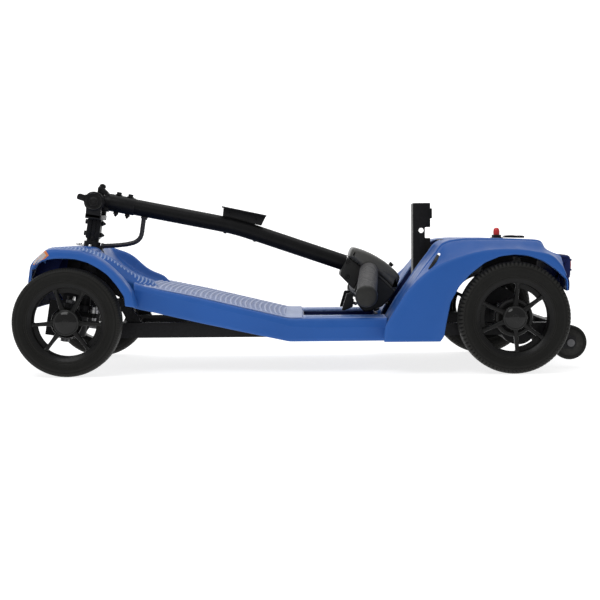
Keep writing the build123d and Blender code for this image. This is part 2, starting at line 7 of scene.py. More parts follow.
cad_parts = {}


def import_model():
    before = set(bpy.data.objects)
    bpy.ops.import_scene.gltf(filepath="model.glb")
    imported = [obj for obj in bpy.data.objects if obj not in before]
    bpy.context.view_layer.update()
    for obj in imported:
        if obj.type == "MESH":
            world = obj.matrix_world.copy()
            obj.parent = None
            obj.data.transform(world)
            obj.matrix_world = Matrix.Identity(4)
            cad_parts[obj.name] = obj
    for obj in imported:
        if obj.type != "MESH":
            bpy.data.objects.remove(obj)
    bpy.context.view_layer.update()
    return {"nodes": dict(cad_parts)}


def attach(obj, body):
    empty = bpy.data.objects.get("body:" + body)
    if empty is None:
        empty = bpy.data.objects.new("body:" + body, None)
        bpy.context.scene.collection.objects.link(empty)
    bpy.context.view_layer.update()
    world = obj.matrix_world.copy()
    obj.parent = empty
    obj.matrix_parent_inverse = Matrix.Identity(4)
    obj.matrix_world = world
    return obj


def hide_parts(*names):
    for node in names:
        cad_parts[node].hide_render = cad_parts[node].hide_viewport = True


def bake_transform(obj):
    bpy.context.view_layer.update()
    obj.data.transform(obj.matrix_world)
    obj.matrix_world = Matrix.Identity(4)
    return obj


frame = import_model()
NODES = frame["nodes"]
SCN = bpy.context.scene
S = 0.001
rad = math.radians

# ------------------------------------------------------------------ materials


def mat(name, base, rough, metal=0.0, coat=0.0, var=0.12, vscale=45.0, bump=0.15, bscale=900.0, edge_scuff_and_sheen=None, edge_scuff_and_sheen_amount=0.35, alpha=None, ior=1.46, trans=0.0, grain=None, spec=0.5, emit=0.0):
    m = bpy.data.materials.new(name)
    m.use_nodes = True
    nt = m.node_tree
    nt.nodes.clear()
    new, link = nt.nodes.new, nt.links.new
    out, sh = new("ShaderNodeOutputMaterial"), new("ShaderNodeBsdfPrincipled")
    link(sh.outputs[0], out.inputs[0])
    tc = new("ShaderNodeTexCoord")
    big, fine, mid = new("ShaderNodeTexNoise"), new("ShaderNodeTexNoise"), new("ShaderNodeTexNoise")
    big.inputs["Scale"].default_value, big.inputs["Detail"].default_value = vscale, 4
    fine.inputs["Scale"].default_value, fine.inputs["Detail"].default_value = bscale, 3
    mid.inputs["Scale"].default_value, mid.inputs["Detail"].default_value = vscale * 4.3, 5
    src = tc.outputs["Object"]
    if grain is not None:
        mp = new("ShaderNodeMapping")
        mp.inputs["Scale"].default_value = grain
        link(src, mp.inputs[0])
        link(mp.outputs[0], fine.inputs["Vector"])
    else:
        link(src, fine.inputs["Vector"])
    link(src, big.inputs["Vector"])
    link(src, mid.inputs["Vector"])
    ramp = new("ShaderNodeValToRGB")
    lo = [max(0.0, c * (1 - var)) for c in base]
    hi = [min(1.0, c * (1 + var)) for c in base]
    ramp.color_ramp.elements[0].position, ramp.color_ramp.elements[1].position = 0.32, 0.68
    ramp.color_ramp.elements[0].color, ramp.color_ramp.elements[1].color = (*lo, 1), (*hi, 1)
    link(big.outputs[0], ramp.inputs[0])
    colour = ramp.outputs[0]
    # Convex edges (pointiness) are mixed towards a lighter colour: partly edge wear, partly a painted edge highlight.
    geo = new("ShaderNodeNewGeometry")
    edge = new("ShaderNodeMapRange")
    edge.inputs[1].default_value, edge.inputs[2].default_value = 0.51, 0.60
    edge.inputs[3].default_value, edge.inputs[4].default_value = 0.0, edge_scuff_and_sheen_amount
    link(geo.outputs["Pointiness"], edge.inputs[0])
    mul = new("ShaderNodeMath")
    mul.operation = "MULTIPLY"
    link(edge.outputs[0], mul.inputs[0])
    link(mid.outputs[0], mul.inputs[1])
    mix = new("ShaderNodeMixRGB")
    w = edge_scuff_and_sheen or [min(1.0, c * 1.7 + 0.02) for c in base]
    mix.inputs[2].default_value = (*w, 1)
    link(mul.outputs[0], mix.inputs[0])
    link(colour, mix.inputs[1])
    link(mix.outputs[0], sh.inputs["Base Color"])
    rr = new("ShaderNodeMapRange")
    rr.inputs[1].default_value, rr.inputs[2].default_value = 0.3, 0.7
    rr.inputs[3].default_value, rr.inputs[4].default_value = max(0.02, rough * 0.82), min(1.0, rough * 1.22)
    link(mid.outputs[0], rr.inputs[0])
    link(rr.outputs[0], sh.inputs["Roughness"])
    bp = new("ShaderNodeBump")
    bp.inputs["Strength"].default_value = bump
    bp.inputs["Distance"].default_value = 0.0005
    link(fine.outputs[0], bp.inputs["Height"])
    link(bp.outputs[0], sh.inputs["Normal"])
    sh.inputs["Metallic"].default_value = metal
    sh.inputs["IOR"].default_value = ior
    sh.inputs["Specular IOR Level"].default_value = spec
    if emit:
        sh.inputs["Emission Color"].default_value = (1, 1, 1, 1)
        sh.inputs["Emission Strength"].default_value = emit
    if coat:
        sh.inputs["Coat Weight"].default_value = coat
        sh.inputs["Coat Roughness"].default_value = 0.12
    if trans:
        sh.inputs["Transmission Weight"].default_value = trans
    return m


# Body blue; its light edge colour is partly a painted highlight along edges and arch lips.
BLUE = mat("body_blue", (0.0185, 0.088, 0.325), 0.42, coat=0.03, var=0.05, vscale=9, bump=0.10, bscale=700, edge_scuff_and_sheen=(0.13, 0.26, 0.60), edge_scuff_and_sheen_amount=0.5, spec=0.16)
# Dark navy: a darker copy of the body blue, painted shade for the insides of the shells, the bays, recesses and the
# shaded rear end.
BLUE_PAINTED_SHADE = mat("dark_blue_painted_shade", (0.004, 0.010, 0.070), 0.5, var=0.15, vscale=30, bump=0.2, bscale=900, spec=0.15)
# Lighter lilac for the mat's rib tops and border: a painted highlight of the lit tops.
MAT_RIB_PAINTED_HIGHLIGHT = mat("mat_rib_painted_highlight", (0.27, 0.325, 0.50), 0.55, var=0.05, vscale=35, bump=0.3, bscale=1500)
DKSTEEL = mat("dark_zinc", (0.10, 0.10, 0.105), 0.4, metal=1.0, var=0.2, vscale=90, bump=0.2, bscale=900)
# Mat lilac; its very light edge colour is partly a painted highlight of grazing reflection on the pad edges.
LILAC = mat("mat_lilac", (0.15, 0.195, 0.36), 0.55, var=0.06, vscale=35, bump=0.35, bscale=1500, edge_scuff_and_sheen=(0.55, 0.63, 0.90), edge_scuff_and_sheen_amount=0.9, spec=0.2)
# Light blue for the ridge rib tops: painted reflection of white light.
RIDGE_RIB_PAINTED_HIGHLIGHT = mat("ridge_rib_painted_highlight", (0.20, 0.285, 0.50), 0.5, var=0.05, vscale=35, bump=0.25, bscale=1500)
# Lighter copy of the body blue: painted sheen of grazing reflection on ridge strips, side decks and lips; its light
# edge colour is painted highlight too.
BLUE_PAINTED_SHEEN = mat("blue_painted_sheen", (0.05, 0.12, 0.33), 0.42, var=0.06, vscale=35, bump=0.25, bscale=1500, edge_scuff_and_sheen=(0.50, 0.60, 0.90), edge_scuff_and_sheen_amount=0.9, spec=0.2)
FRAMEB = mat("frame_black", (0.0045, 0.0045, 0.005), 0.42, coat=0.03, var=0.25, vscale=60, bump=0.22, bscale=1400, edge_scuff_and_sheen=(0.06, 0.06, 0.065), spec=0.12)
STEEL = mat("steel", (0.42, 0.42, 0.43), 0.34, metal=1.0, var=0.15, vscale=90, bump=0.2, bscale=900, grain=(1, 1, 14))
CHROME = mat("chrome", (0.80, 0.80, 0.83), 0.12, metal=1.0, var=0.06, vscale=60, bump=0.06, bscale=500)
HOUSE = mat("housing_black", (0.0055, 0.0055, 0.006), 0.5, var=0.2, vscale=50, bump=0.3, bscale=1100, spec=0.14)
GREY = mat("head_grey", (0.056, 0.055, 0.050), 0.42, coat=0.1, var=0.07, vscale=30, bump=0.3, bscale=1700, edge_scuff_and_sheen=(0.16, 0.16, 0.155), spec=0.4)
DARK = mat("head_dark", (0.019, 0.019, 0.018), 0.45, var=0.12, vscale=40, bump=0.3, bscale=1700, spec=0.2)
GRIP = mat("grip_rubber", (0.060, 0.059, 0.060), 0.6, var=0.1, vscale=40, bump=0.4, bscale=1500, edge_scuff_and_sheen=(0.14, 0.14, 0.14), spec=0.35)
CABLE = mat("cable_black", (0.012, 0.011, 0.016), 0.34, coat=0.2, var=0.2, vscale=60, bump=0.15, bscale=900, spec=0.3)
BLACKP = mat("black_plastic", (0.012, 0.012, 0.012), 0.38, var=0.2, vscale=60, bump=0.2, bscale=1100, spec=0.18)
RED = mat("red_plastic", (0.60, 0.012, 0.016), 0.3, coat=0.35, var=0.08, vscale=60, bump=0.08, bscale=600)
REDLENS = mat("red_lens", (0.42, 0.01, 0.012), 0.14, coat=0.6, var=0.12, vscale=120, bump=0.1, bscale=700)
# Tyre rubber; its light edge colour paints highlights on the tread notches and rings as well as wear.
TYRE = mat("tyre_rubber", (0.0085, 0.0085, 0.0078), 0.5, var=0.10, vscale=45, bump=0.5, bscale=1300, edge_scuff_and_sheen=(0.085, 0.083, 0.078), edge_scuff_and_sheen_amount=0.8, spec=0.12)
RIM = mat("rim_black", (0.0055, 0.0055, 0.0055), 0.34, coat=0.03, var=0.2, vscale=60, bump=0.15, bscale=1000, edge_scuff_and_sheen=(0.05, 0.05, 0.05), spec=0.15)
GLOSS = mat("cap_gloss", (0.006, 0.006, 0.006), 0.07, coat=0.12, var=0.2, vscale=60, bump=0.03, bscale=500, spec=0.22)
AMBER = mat("amber", (0.55, 0.16, 0.03), 0.3, coat=0.3, var=0.12, vscale=90, bump=0.1, bscale=700)
CLEAR = mat("lamp_clear", (0.80, 0.78, 0.76), 0.10, coat=0.6, var=0.10, vscale=160, bump=0.25, bscale=420, trans=0.55)

BY_NODE = {
    "main_frame": FRAMEB, "steering_head": FRAMEB, "head_bearings": STEEL, "front_axle_beam": FRAMEB, "chassis_bolts": DKSTEEL,
    "gearbox_housing": HOUSE, "drive_motor": HOUSE, "axle_housings": FRAMEB, "anti_tip_arms": FRAMEB, "battery_pack": HOUSE,
    "controller_box": HOUSE, "knuckle_left": FRAMEB, "knuckle_right": FRAMEB, "tie_rod": STEEL, "rear_axle_shaft_left": STEEL,
    "rear_axle_shaft_right": STEEL, "tiller_pivot_pins": STEEL,
}

# ------------------------------------------------------------------ mesh tools


def vec(p):
    return Vector((float(p[0]), float(p[1]), float(p[2])))


def bm_of(verts, faces):
    bm = bmesh.new()
    vs = [bm.verts.new(tuple(float(c) for c in v)) for v in verts]
    for f in faces:
        ids = []
        for i in f:
            if not ids or ids[-1] != i:
                ids.append(i)
        if len(set(ids)) >= 3:
            try:
                bm.faces.new([vs[i] for i in ids])
            except ValueError:
                pass
    bmesh.ops.remove_doubles(bm, verts=bm.verts, dist=1e-4)
    return bm


def merge(bms):
    out = bmesh.new()
    for k, item in enumerate(bms):
        bm, mi = item if isinstance(item, tuple) else (item, 0)
        for f in bm.faces:
            f.material_index = mi
        me = bpy.data.meshes.new("tmp")
        bm.to_mesh(me)
        out.from_mesh(me)
        bpy.data.meshes.remove(me)
        bm.free()
    return out


def obj(name, bms, body, slot, *mats, angle=38, solid=0.0, flip=None, stand_for=(), keep_normals=False, rim=0, sub=0, fmat=None, offs0=False):
    bm = merge(bms if isinstance(bms, list) else [bms])
    if not keep_normals:
        bmesh.ops.recalc_face_normals(bm, faces=bm.faces)
    if flip is not None:
        ref = vec(flip)
        total = sum((f.calc_center_median() - ref).dot(f.normal) * f.calc_area() for f in bm.faces)
        if total < 0:
            bmesh.ops.reverse_faces(bm, faces=bm.faces)
    if fmat is not None:
        for f in bm.faces:
            f.material_index = fmat(f.calc_center_median())
    bmesh.ops.scale(bm, vec=(S, S, S), verts=bm.verts)
    me = bpy.data.meshes.new(name)
    bm.to_mesh(me)
    bm.free()
    for m in mats:
        me.materials.append(m)
    me.polygons.foreach_set("use_smooth", [True] * len(me.polygons))
    me.set_sharp_from_angle(angle=rad(angle))
    ob = bpy.data.objects.new(name, me)
    SCN.collection.objects.link(ob)
    if sub:
        md = ob.modifiers.new("sub", "SUBSURF")
        md.levels = md.render_levels = sub
    if solid:
        md = ob.modifiers.new("solid", "SOLIDIFY")
        md.thickness, md.offset, md.use_rim = abs(solid) * S, -1 if solid > 0 else 1, True
        md.use_quality_normals = True
        # The second material goes on the inner faces; on the blue shells that is the navy painted shade.
        if len(mats) > 1 and not offs0:
            md.material_offset, md.material_offset_rim = 1, rim
    if stand_for:
        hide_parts(*stand_for)
    if body:
        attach(ob, body)
    return ob


def cut(ob, cutter_bm):
    """Takes the cutter volume out of ob for good."""
    bmesh.ops.recalc_face_normals(cutter_bm, faces=cutter_bm.faces)
    bmesh.ops.scale(cutter_bm, vec=(S, S, S), verts=cutter_bm.verts)
    me = bpy.data.meshes.new("cutter")
    cutter_bm.to_mesh(me)
    cutter_bm.free()
    co = bpy.data.objects.new("cutter", me)
    SCN.collection.objects.link(co)
    md = ob.modifiers.new("cut", "BOOLEAN")
    md.object, md.operation, md.solver = co, "DIFFERENCE", "EXACT"
    bpy.context.view_layer.update()
    dg = bpy.context.evaluated_depsgraph_get()
    new = bpy.data.meshes.new_from_object(ob.evaluated_get(dg), preserve_all_data_layers=True, depsgraph=dg)
    if len(new.polygons) > 10:
        old = ob.data
        ob.modifiers.clear()
        ob.data = new
        bpy.data.meshes.remove(old)
        new.name = ob.name
        new.polygons.foreach_set("use_smooth", [True] * len(new.polygons))
        new.set_sharp_from_angle(angle=rad(36))
    bpy.data.objects.remove(co)
    bpy.data.meshes.remove(me)
    return ob


def line(pts, n, smooth=0):
    p = np.array(pts, float)
    d = np.r_[0, np.cumsum(np.linalg.norm(np.diff(p, axis=0), axis=1))]
    t = np.linspace(0, d[-1], n)
    q = np.stack([np.interp(t, d, p[:, k]) for k in range(p.shape[1])], 1)
    for _ in range(smooth):
        q[1:-1] = 0.25 * q[:-2] + 0.5 * q[1:-1] + 0.25 * q[2:]
    return q


def loop(pts, n, smooth=0):
    q = line(list(pts) + [pts[0]], n + 1)[:-1]
    for _ in range(smooth):
        q = 0.25 * np.roll(q, 1, 0) + 0.5 * q + 0.25 * np.roll(q, -1, 0)
    return q


def normals2(q, closed=False):
    t = np.roll(q, -1, 0) - np.roll(q, 1, 0) if closed else np.gradient(q, axis=0)
    t /= np.linalg.norm(t, axis=1)[:, None] + 1e-12
    return np.stack([t[:, 1], -t[:, 0]], 1)


def grid(rows, close_u=False, close_v=False, cap=False):
    nr, nc = len(rows), len(rows[0])
    verts = [p for r in rows for p in r]
    faces = []
    for i in range(nr if close_u else nr - 1):
        for j in range(nc if close_v else nc - 1):
            a, b = i * nc + j, i * nc + (j + 1) % nc
            c, d = ((i + 1) % nr) * nc + (j + 1) % nc, ((i + 1) % nr) * nc + j
            faces.append((a, b, c, d))
    if cap:
        faces.append(tuple(range(nc))[::-1])
        faces.append(tuple((nr - 1) * nc + j for j in range(nc)))
    return bm_of(verts, faces)


def prism(poly, y0, y1, bev=0.8, seg=2, fr=None):
    """Outline in X,Z drawn out along Y, or in the frame fr = (origin, u, v, w)."""
    n = len(poly)
    if fr is None:
        fr = ((0, 0, 0), (1, 0, 0), (0, 0, 1), (0, 1, 0))
    o, u, v, w = (vec(a) for a in fr)
    vs = [o + u * a + v * b + w * t for t in (y0, y1) for a, b in poly]
    faces = [tuple(range(n)), tuple(range(n, 2 * n))[::-1]] + [(i, (i + 1) % n, n + (i + 1) % n, n + i) for i in range(n)]
    bm = bm_of(vs, faces)
    bmesh.ops.recalc_face_normals(bm, faces=bm.faces)
    if bev:
        sharp = [e for e in bm.edges if e.is_manifold and e.calc_face_angle(0) > rad(22)]
        bmesh.ops.bevel(bm, geom=sharp, offset=bev, segments=seg, affect="EDGES", profile=0.5, clamp_overlap=True)
    return bm


def box(x0, x1, y0, y1, z0, z1, bev=0.8, seg=2):
    return prism([(x0, z0), (x1, z0), (x1, z1), (x0, z1)], y0, y1, bev, seg)


def axes(d):
    d = vec(d).normalized()
    a = Vector((0, 1, 0)) if abs(d.y) < 0.9 else Vector((0, 0, 1))
    u = (a - d * a.dot(d)).normalized()
    return d, u, d.cross(u)


def lathe(prof, o, d, n=64, closed=False, disp=None):
    """prof is [(along, radius)]; disp(k, angle) adds to the radius of profile point k."""
    d, u, v = axes(d)
    o = vec(o)
    rows = []
    for i in range(n):
        a = 2 * math.pi * i / n
        e = u * math.cos(a) + v * math.sin(a)
        rows.append([o + d * h + e * (r + (disp(k, a) if disp else 0)) for k, (h, r) in enumerate(prof)])
    return grid(rows, close_u=True, close_v=closed)


def cyl(o, d, r, h, bev=0.6, n=40):
    b = min(bev, r * 0.45, h * 0.45)
    return lathe([(0, 0), (0, r - b), (b * 0.3, r - b * 0.3), (b, r), (h - b, r), (h - b * 0.3, r - b * 0.3), (h, r - b), (h, 0)], o, d, n)


def ring(o, d, r0, r1, h, bev=0.5, n=48):
    b = min(bev, (r1 - r0) * 0.4, h * 0.4)
    return lathe([(b, r0), (h - b, r0), (h, r0 + b), (h, r1 - b), (h - b, r1), (b, r1), (0, r1 - b), (0, r0 + b)], o, d, n, closed=True)


def hexa(o, d, r, h, bev=0.5, turn=0.0):
    d, u, v = axes(d)
    return prism([(r * math.cos(turn + k * math.pi / 3), r * math.sin(turn + k * math.pi / 3)) for k in range(6)], 0, h, bev, 2, (o, u, v, d))


def bolt(o, d, r, h, washer=0.0):
    d = vec(d).normalized()
    o = vec(o)
    parts = [hexa(o + d * washer, d, r, h, 0.6)]
    if washer:
        parts.append(ring(o, d, r * 0.3, r * 1.25, washer, 0.3))
    parts.append(lathe([(washer + h - 0.1, 0.0), (washer + h - 0.1, r * 0.7), (washer + h + 0.25, r * 0.62), (washer + h + 0.3, 0)], o, d, 24))
    return parts


def nut(o, d, r, h, stud):
    d = vec(d).normalized()
    o = vec(o)
    return [hexa(o, d, r, h, 0.6), lathe([(h - 0.5, 0), (h - 0.5, r * 0.62), (h + stud * 0.45, r * 0.55), (h + stud, r * 0.16), (h + stud, 0)], o, d, 24)]


def sweep(path, radius, n=28, caps=True, fn=None):
    p = [vec(q) for q in path]
    t0 = (p[1] - p[0]).normalized()
    _, u, v = axes(t0)
    rows = []
    for i, q in enumerate(p):
        t = (p[min(i + 1, len(p) - 1)] - p[max(i - 1, 0)]).normalized()
        u = (u - t * u.dot(t)).normalized()
        v = t.cross(u)
        r = radius[i] if hasattr(radius, "__len__") else radius
        rows.append([q + (u * math.cos(2 * math.pi * k / n) + v * math.sin(2 * math.pi * k / n)) * (r + (fn(i, 2 * math.pi * k / n) if fn else 0)) for k in range(n)])
    return grid(rows, close_v=True, cap=caps)


def pillow(poly, ys, offs, n=96, smooth=2, tilt=0.0):
    """A closed outline in X,Z lofted across Y with edges that round off."""
    q = loop(poly, n, smooth)
    nn = normals2(q, True)
    area = 0.5 * np.sum(q[:, 0] * np.roll(q[:, 1], -1) - np.roll(q[:, 0], -1) * q[:, 1])
    if area < 0:
        nn = -nn
    rows = []
    for y, o in zip(ys, offs):
        rows.append([(a[0] - m[0] * o, y, a[1] - m[1] * o) for a, m in zip(q, nn)])
    return grid(rows, close_v=True, cap=True)


def both(ys, offs):
    """Mirrors a half list of stations (centre outwards) to the full width."""
    return [-y for y in ys[::-1]] + list(ys), list(offs[::-1]) + list(offs)


def interp(x, pts, smooth=None):
    xs, ys = zip(*pts)
    return float(np.interp(x, xs, ys))


# ------------------------------------------------------------------ outlines

NOSE = [(-498, 118), (-508, 135), (-511.5, 150), (-511, 163), (-505, 181), (-498, 199), (-489, 211), (-478, 220), (-470, 227), (-462, 230.5), (-440, 231.5), (-414, 231), (-395, 228)]
RTAIL = [(-395, 228), (-380, 222), (-364, 217), (-350, 209.5), (-343, 204), (-331, 193.7), (-321, 186), (-309, 179), (-300, 175.5), (-292, 172.5), (-285, 170), (-278, 164.5), (-271, 156)]
DROP = [(-500, 1.5), (-470, 3), (-430, 5), (-395, 8), (-367, 12), (-340, 19), (-322, 16), (-298, 13.5), (-286, 12), (-271, 7)]
STAIL = [(-395, 228), (-390, 220), (-377, 203), (-360, 189), (-340, 176), (-318, 166), (-292, 158.5), (-271, 152)]
FEND = [(-492, 190), (-486.5, 199.5), (-479, 210), (-469, 217), (-461, 226.5), (-446, 228.6), (-424, 227.4), (-400, 225), (-389.5, 221.6), (-373.7, 216), (-358, 205.5), (-342, 192), (-326, 175), (-308, 151), (-301, 123)]
ARCH = [(-320, 126), (-321, 141.7), (-334.4, 162.4), (-350, 181), (-366, 192.8), (-385.7, 203.4), (-405.6, 209.4), (-424, 211), (-442.5, 211), (-454.9, 209.8), (-467.6, 206.2), (-476.9, 200.7), (-482, 192)][::-1]
PLAN = [(-514, 100), (-512, 140), (-508, 160), (-502, 182), (-492, 212), (-478, 232), (-468, 240)]
TOP = [(-320, 163.5), (-292, 158.5), (-252, 150.5), (-194, 138.5), (-34, 100.2), (-28, 99.4), (160, 99.4)]
BOT = [(-320, 121.5), (-292, 115), (-283, 113.3), (-250.2, 105.5), (-181.7, 89.6), (-72.5, 65.9), (-29.4, 56.7), (160, 57)]

# ------------------------------------------------------------------ front fairing

q1, q2, q3 = line(NOSE, 70), line(RTAIL, 70), line(STAIL, 70)
R = np.vstack([q1, q2[1:]])
SC = np.vstack([q1, q3[1:]])
for _ in range(9):
    for a in (R, SC):
        a[1:-1] = 0.25 * a[:-2] + 0.5 * a[1:-1] + 0.25 * a[2:]
RN = normals2(R)


def half_width(x, z):
    return min(interp(z, [(118, 143), (165, 146), (181, 162), (199, 186), (215, 192)]), min(192.0, interp(x, PLAN)))


FCOLS = [(0, 0, 0), (0.2, 0, 0), (0.42, 0, 0), (0.60, 0, 0), (0.68, 0.01, 0), (0.725, 0.05, 0), (0.752, 0.25, 0), (0.772, 0.75, 0), (0.788, 0.95, 0), (0.805, 1, 0), (0.83, 1, 0), (0.86, 1, -10.12), (0.90, 1, -10.42), (0.94, 1, -10.72), (0.97, 1, -10.93), (0.99, 1, -11.08), (1, 1, -11.25), (1, 1, -0.45), (1, 1, -0.75), (1, 1, -1)]
rows = []
for i in range(len(R)):
    w = half_width(*R[i])
    arch_z = interp(R[i][0], ARCH + [(-319, 138), (-310, 126)])
    depth = max(9.0, R[i][1] - arch_z - 3) if R[i][0] > -482 else 7.0
    if R[i][0] > -310:
        depth = R[i][1] - 127
    half = []
    for f, a, o in FCOLS:
        dr = interp(R[i][0], DROP)
        o = o if o >= 0 else ((-o - 10) * dr if o <= -10 else max(-o * depth, dr * 1.3 + 1 - o))
        p = SC[i] * (1 - a) + R[i] * a + RN[i] * o * (1 if o <= 5 or R[i][0] < -470 else 1)
        if o > 5 and R[i][0] > -470:
            p = np.array([R[i][0], R[i][1] - o])
        half.append((p[0], f * w, p[1]))
    rows.append([(x, -y, z) for x, y, z in half[::-1]] + half[1:])
fair = obj("fairing_body", grid(rows), "chassis", "body_blue", BLUE, BLUE_PAINTED_SHADE, solid=2.4, flip=(-400, 0, 60), angle=60, stand_for=["front_fairing"])
cut(fair, cyl(C_COL := (-431.8 + 0.1528 * 90, 0, 97.2 + 0.98825 * 90), (0.1528, 0, 0.98825), 25.0, 80, 0))

# inner walls of the wheel bays in dark navy: painted shade for the inside of the bays
wall_f = [(-497, 150), (-506, 160), (-503, 176), (-494, 196), (-484, 208), (-472, 218), (-452, 222), (-449, 208), (-458, 188), (-466, 160)]
wall_b = [(-384, 206), (-362, 186), (-330, 168), (-296, 152), (-296, 124), (-324, 128), (-338, 148), (-360, 176), (-388, 194)]
for s in (-1, 1):
    obj("bay_wall_" + ("left" if s < 0 else "right"), [prism(wall_f, s * 117.0, s * 119.5, 0.5), prism(wall_b, s * 117.0, s * 119.5, 0.5), prism([(-500, 158), (-470, 158), (-470, 160.5), (-500, 160.5)], s * 117.5, s * 121.5, 0.4)], "chassis", "body_blue", BLUE_PAINTED_SHADE)

# ribbed tread strips along the two ridges; rib tops and strip edges carry a lighter painted highlight
rs = np.r_[0, np.cumsum(np.linalg.norm(np.diff(R, axis=0), axis=1))]
s_a = float(np.interp(-474, R[:, 0][14:], rs[14:]))
s_b = rs[-1]


def trap(u, up=0.42, soft=0.14):
    u = u % 1.0
    if u < soft:
        return u / soft
    if u < up:
        return 1.0
    if u < up + soft:
        return 1 - (u - up) / soft
    return 0.0


# Mask for the painted highlight: rib tops and the strip edges.
def ridge_highlight_mask(c):
    k = int(np.argmin((R[:, 0] - c.x) ** 2 + 0.2 * (R[:, 1] - c.z) ** 2))
    k = min(max(k, 1), len(R) - 2)
    t = R[k + 1] - R[k - 1]
    t = t / np.linalg.norm(t)
    l = rs[k] + (c.x - R[k][0]) * t[0] + (c.z - R[k][1]) * t[1]
    v = (abs(c.y) / half_width(*R[k]) - 0.842) / 0.146 * 2 - 1
    return 1 if abs(v) < 0.84 and trap((l - 4.5 * (1 - v * v)) / 7.0) > 0.6 else (1 if abs(v) >= 0.86 else 0)


for s in (-1, 1):
    rows = []
    ns = int((s_b - s_a) / 0.8)
    for i in range(ns + 1):
        l = s_a + (s_b - s_a) * i / ns
        row = []
        for j in range(15):
            f = j / 14
            v = 2 * f - 1
            ll = min(max(l, s_a), s_b)
            x = float(np.interp(ll, rs, R[:, 0]))
            z = float(np.interp(ll, rs, R[:, 1]))
            nx = float(np.interp(ll, rs, RN[:, 0]))
            nz = float(np.interp(ll, rs, RN[:, 1]))
            k = (half_width(x, z) + 0.0) / 192
            rib = 0 if abs(v) > 0.86 else trap((l - 4.5 * (1 - v * v)) / 7.0)
            h = -0.5 if j in (0, 14) else 0.5 + 0.95 * rib * min(1, (0.86 - abs(v)) * 12 + 0.2 if abs(v) < 0.86 else 0)
            dr = interp(x, DROP)
            sink = dr * float(np.interp(0.842 + 0.146 * f, [0.83, 0.86, 0.90, 0.94, 0.97, 0.99], [0, 0.12, 0.42, 0.72, 0.93, 1.08]))
            row.append((x + nx * (sink - h * 0.75), s * (0.842 + 0.146 * f) * 192 * k + s * 0.5 * h, z + nz * (sink - h * 0.75)))
        rows.append(row)
    obj("ridge_strip_" + ("left" if s < 0 else "right"), grid(rows), "chassis", "mat_lilac", BLUE_PAINTED_SHEEN, RIDGE_RIB_PAINTED_HIGHLIGHT, solid=0.5, flip=(-400, 0, 60), angle=50, fmat=ridge_highlight_mask, offs0=True)

# front fenders
F, A = line(FEND, 110, 7), line(ARCH, 110, 7)
for s in (-1, 1):
    rows = []
    for i in range(110):
        d = A[i] - F[i]
        L = float(np.linalg.norm(d))
        d = d / L
        kk = (min(238.0, interp(F[i][0], PLAN)) - 186) / 52
        row = []
        for y, o in [(185.5, 7), (187.5, 2.2), (191, 0.5), (196, 0), (212, 0), (223, 0.1), (229, 0.5), (233, 1.4), (235.8, 3.0), (237.2, 5.4), (237.9, -0.45), (238.0, -0.7), (237.9, L - 2.6), (237.4, L - 0.9), (236, L), (233, L + 0.3), (226, L + 0.6)]:
            off = o if o >= 0 else -o * L
            off = min(off, L + 0.6)
            p = F[i] + d * off
            row.append((p[0], s * (186 + (y - 186) * kk), p[1]))
        rows.append(row)
    obj("front_fender_" + ("left" if s < 0 else "right"), grid(rows), "chassis", "body_blue", BLUE, BLUE_PAINTED_SHADE, solid=2.2, flip=(-424, s * 200, 97), angle=60)

# ------------------------------------------------------------------ footboard

SKT = [(-335, 178), (-309, 166), (-298, 162), (-286, 158.5), (-252, 150.5), (-194, 138.5), (-34, 100.2), (-28, 99.4), (160, 99.4)]
CREASE = [(-320, 156), (-292, 149.5), (-194, 126.6), (-42, 88.6), (-28, 84.6), (10, 82.0), (160, 81.6)]
xs = np.linspace(-309, 147, 150)
ksm = lambda pts: line([(x, interp(x, pts)) for x in np.linspace(-320, 160, 200)], 300, 10)
TL, BL, CL, KL = ksm(TOP), ksm(BOT), ksm(CREASE), line([(x, interp(x, SKT)) for x in np.linspace(-330, 160, 200)], 300, 10)
tz = lambda x: float(np.interp(x, TL[:, 0], TL[:, 1]))
bz = lambda x: float(np.interp(x, BL[:, 0], BL[:, 1]))
cz = lambda x: float(np.interp(x, CL[:, 0], CL[:, 1]))
for s in (-1, 1):
    side = "left" if s < 0 else "right"
    rows = []
    for x in xs:
        t, b, c = float(np.interp(x, KL[:, 0], KL[:, 1])), bz(x), cz(x)
        rows.append([(x, s * y, z) for y, z in [(150, t - 0.4), (180, t - 0.3), (186.5, t - 0.5), (190, t - 1.3), (192.2, t - 3.0), (193.4, t - 6), (194.9, c + 1.0), (195.1, c), (194.5, c - 1.4), (191.8, b + 7), (190.6, b + 2.6), (188.8, b + 0.6), (185.5, b + 0.1), (172, b + 0.2)]])
    obj("footboard_skirt_" + side, grid(rows), "chassis", "body_blue", BLUE, BLUE_PAINTED_SHADE, solid=2.2, flip=(-80, 0, 90), angle=60, stand_for=["footboard_shell"] if s < 0 else ())
    # The side decks get the lighter blue: painted sheen of grazing reflection.
    rows = [[(x, s * y, tz(x) - 0.2 + h) for y, h in [(98.5, -4.5), (98.8, -1.5), (100, 0.2), (103, 0.7), (145, 0.7), (149, 0.5), (151, 0.0), (184, 0.0)]] for x in np.linspace(-4, 147, 40)]
    obj("side_deck_" + side, grid(rows), "chassis", "body_blue", BLUE_PAINTED_SHEEN, BLUE_PAINTED_SHADE, solid=1.6, flip=(70, 0, 40), angle=50)
rows = [[(x, y, tz(x) - 0.6) for y in np.linspace(-181, 181, 9)] for x in np.linspace(-298, -3, 60)]
obj("footboard_top", grid(rows), "chassis", "body_blue", BLUE, BLUE_PAINTED_SHADE, solid=2.2, flip=(-100, 0, 0), angle=60)

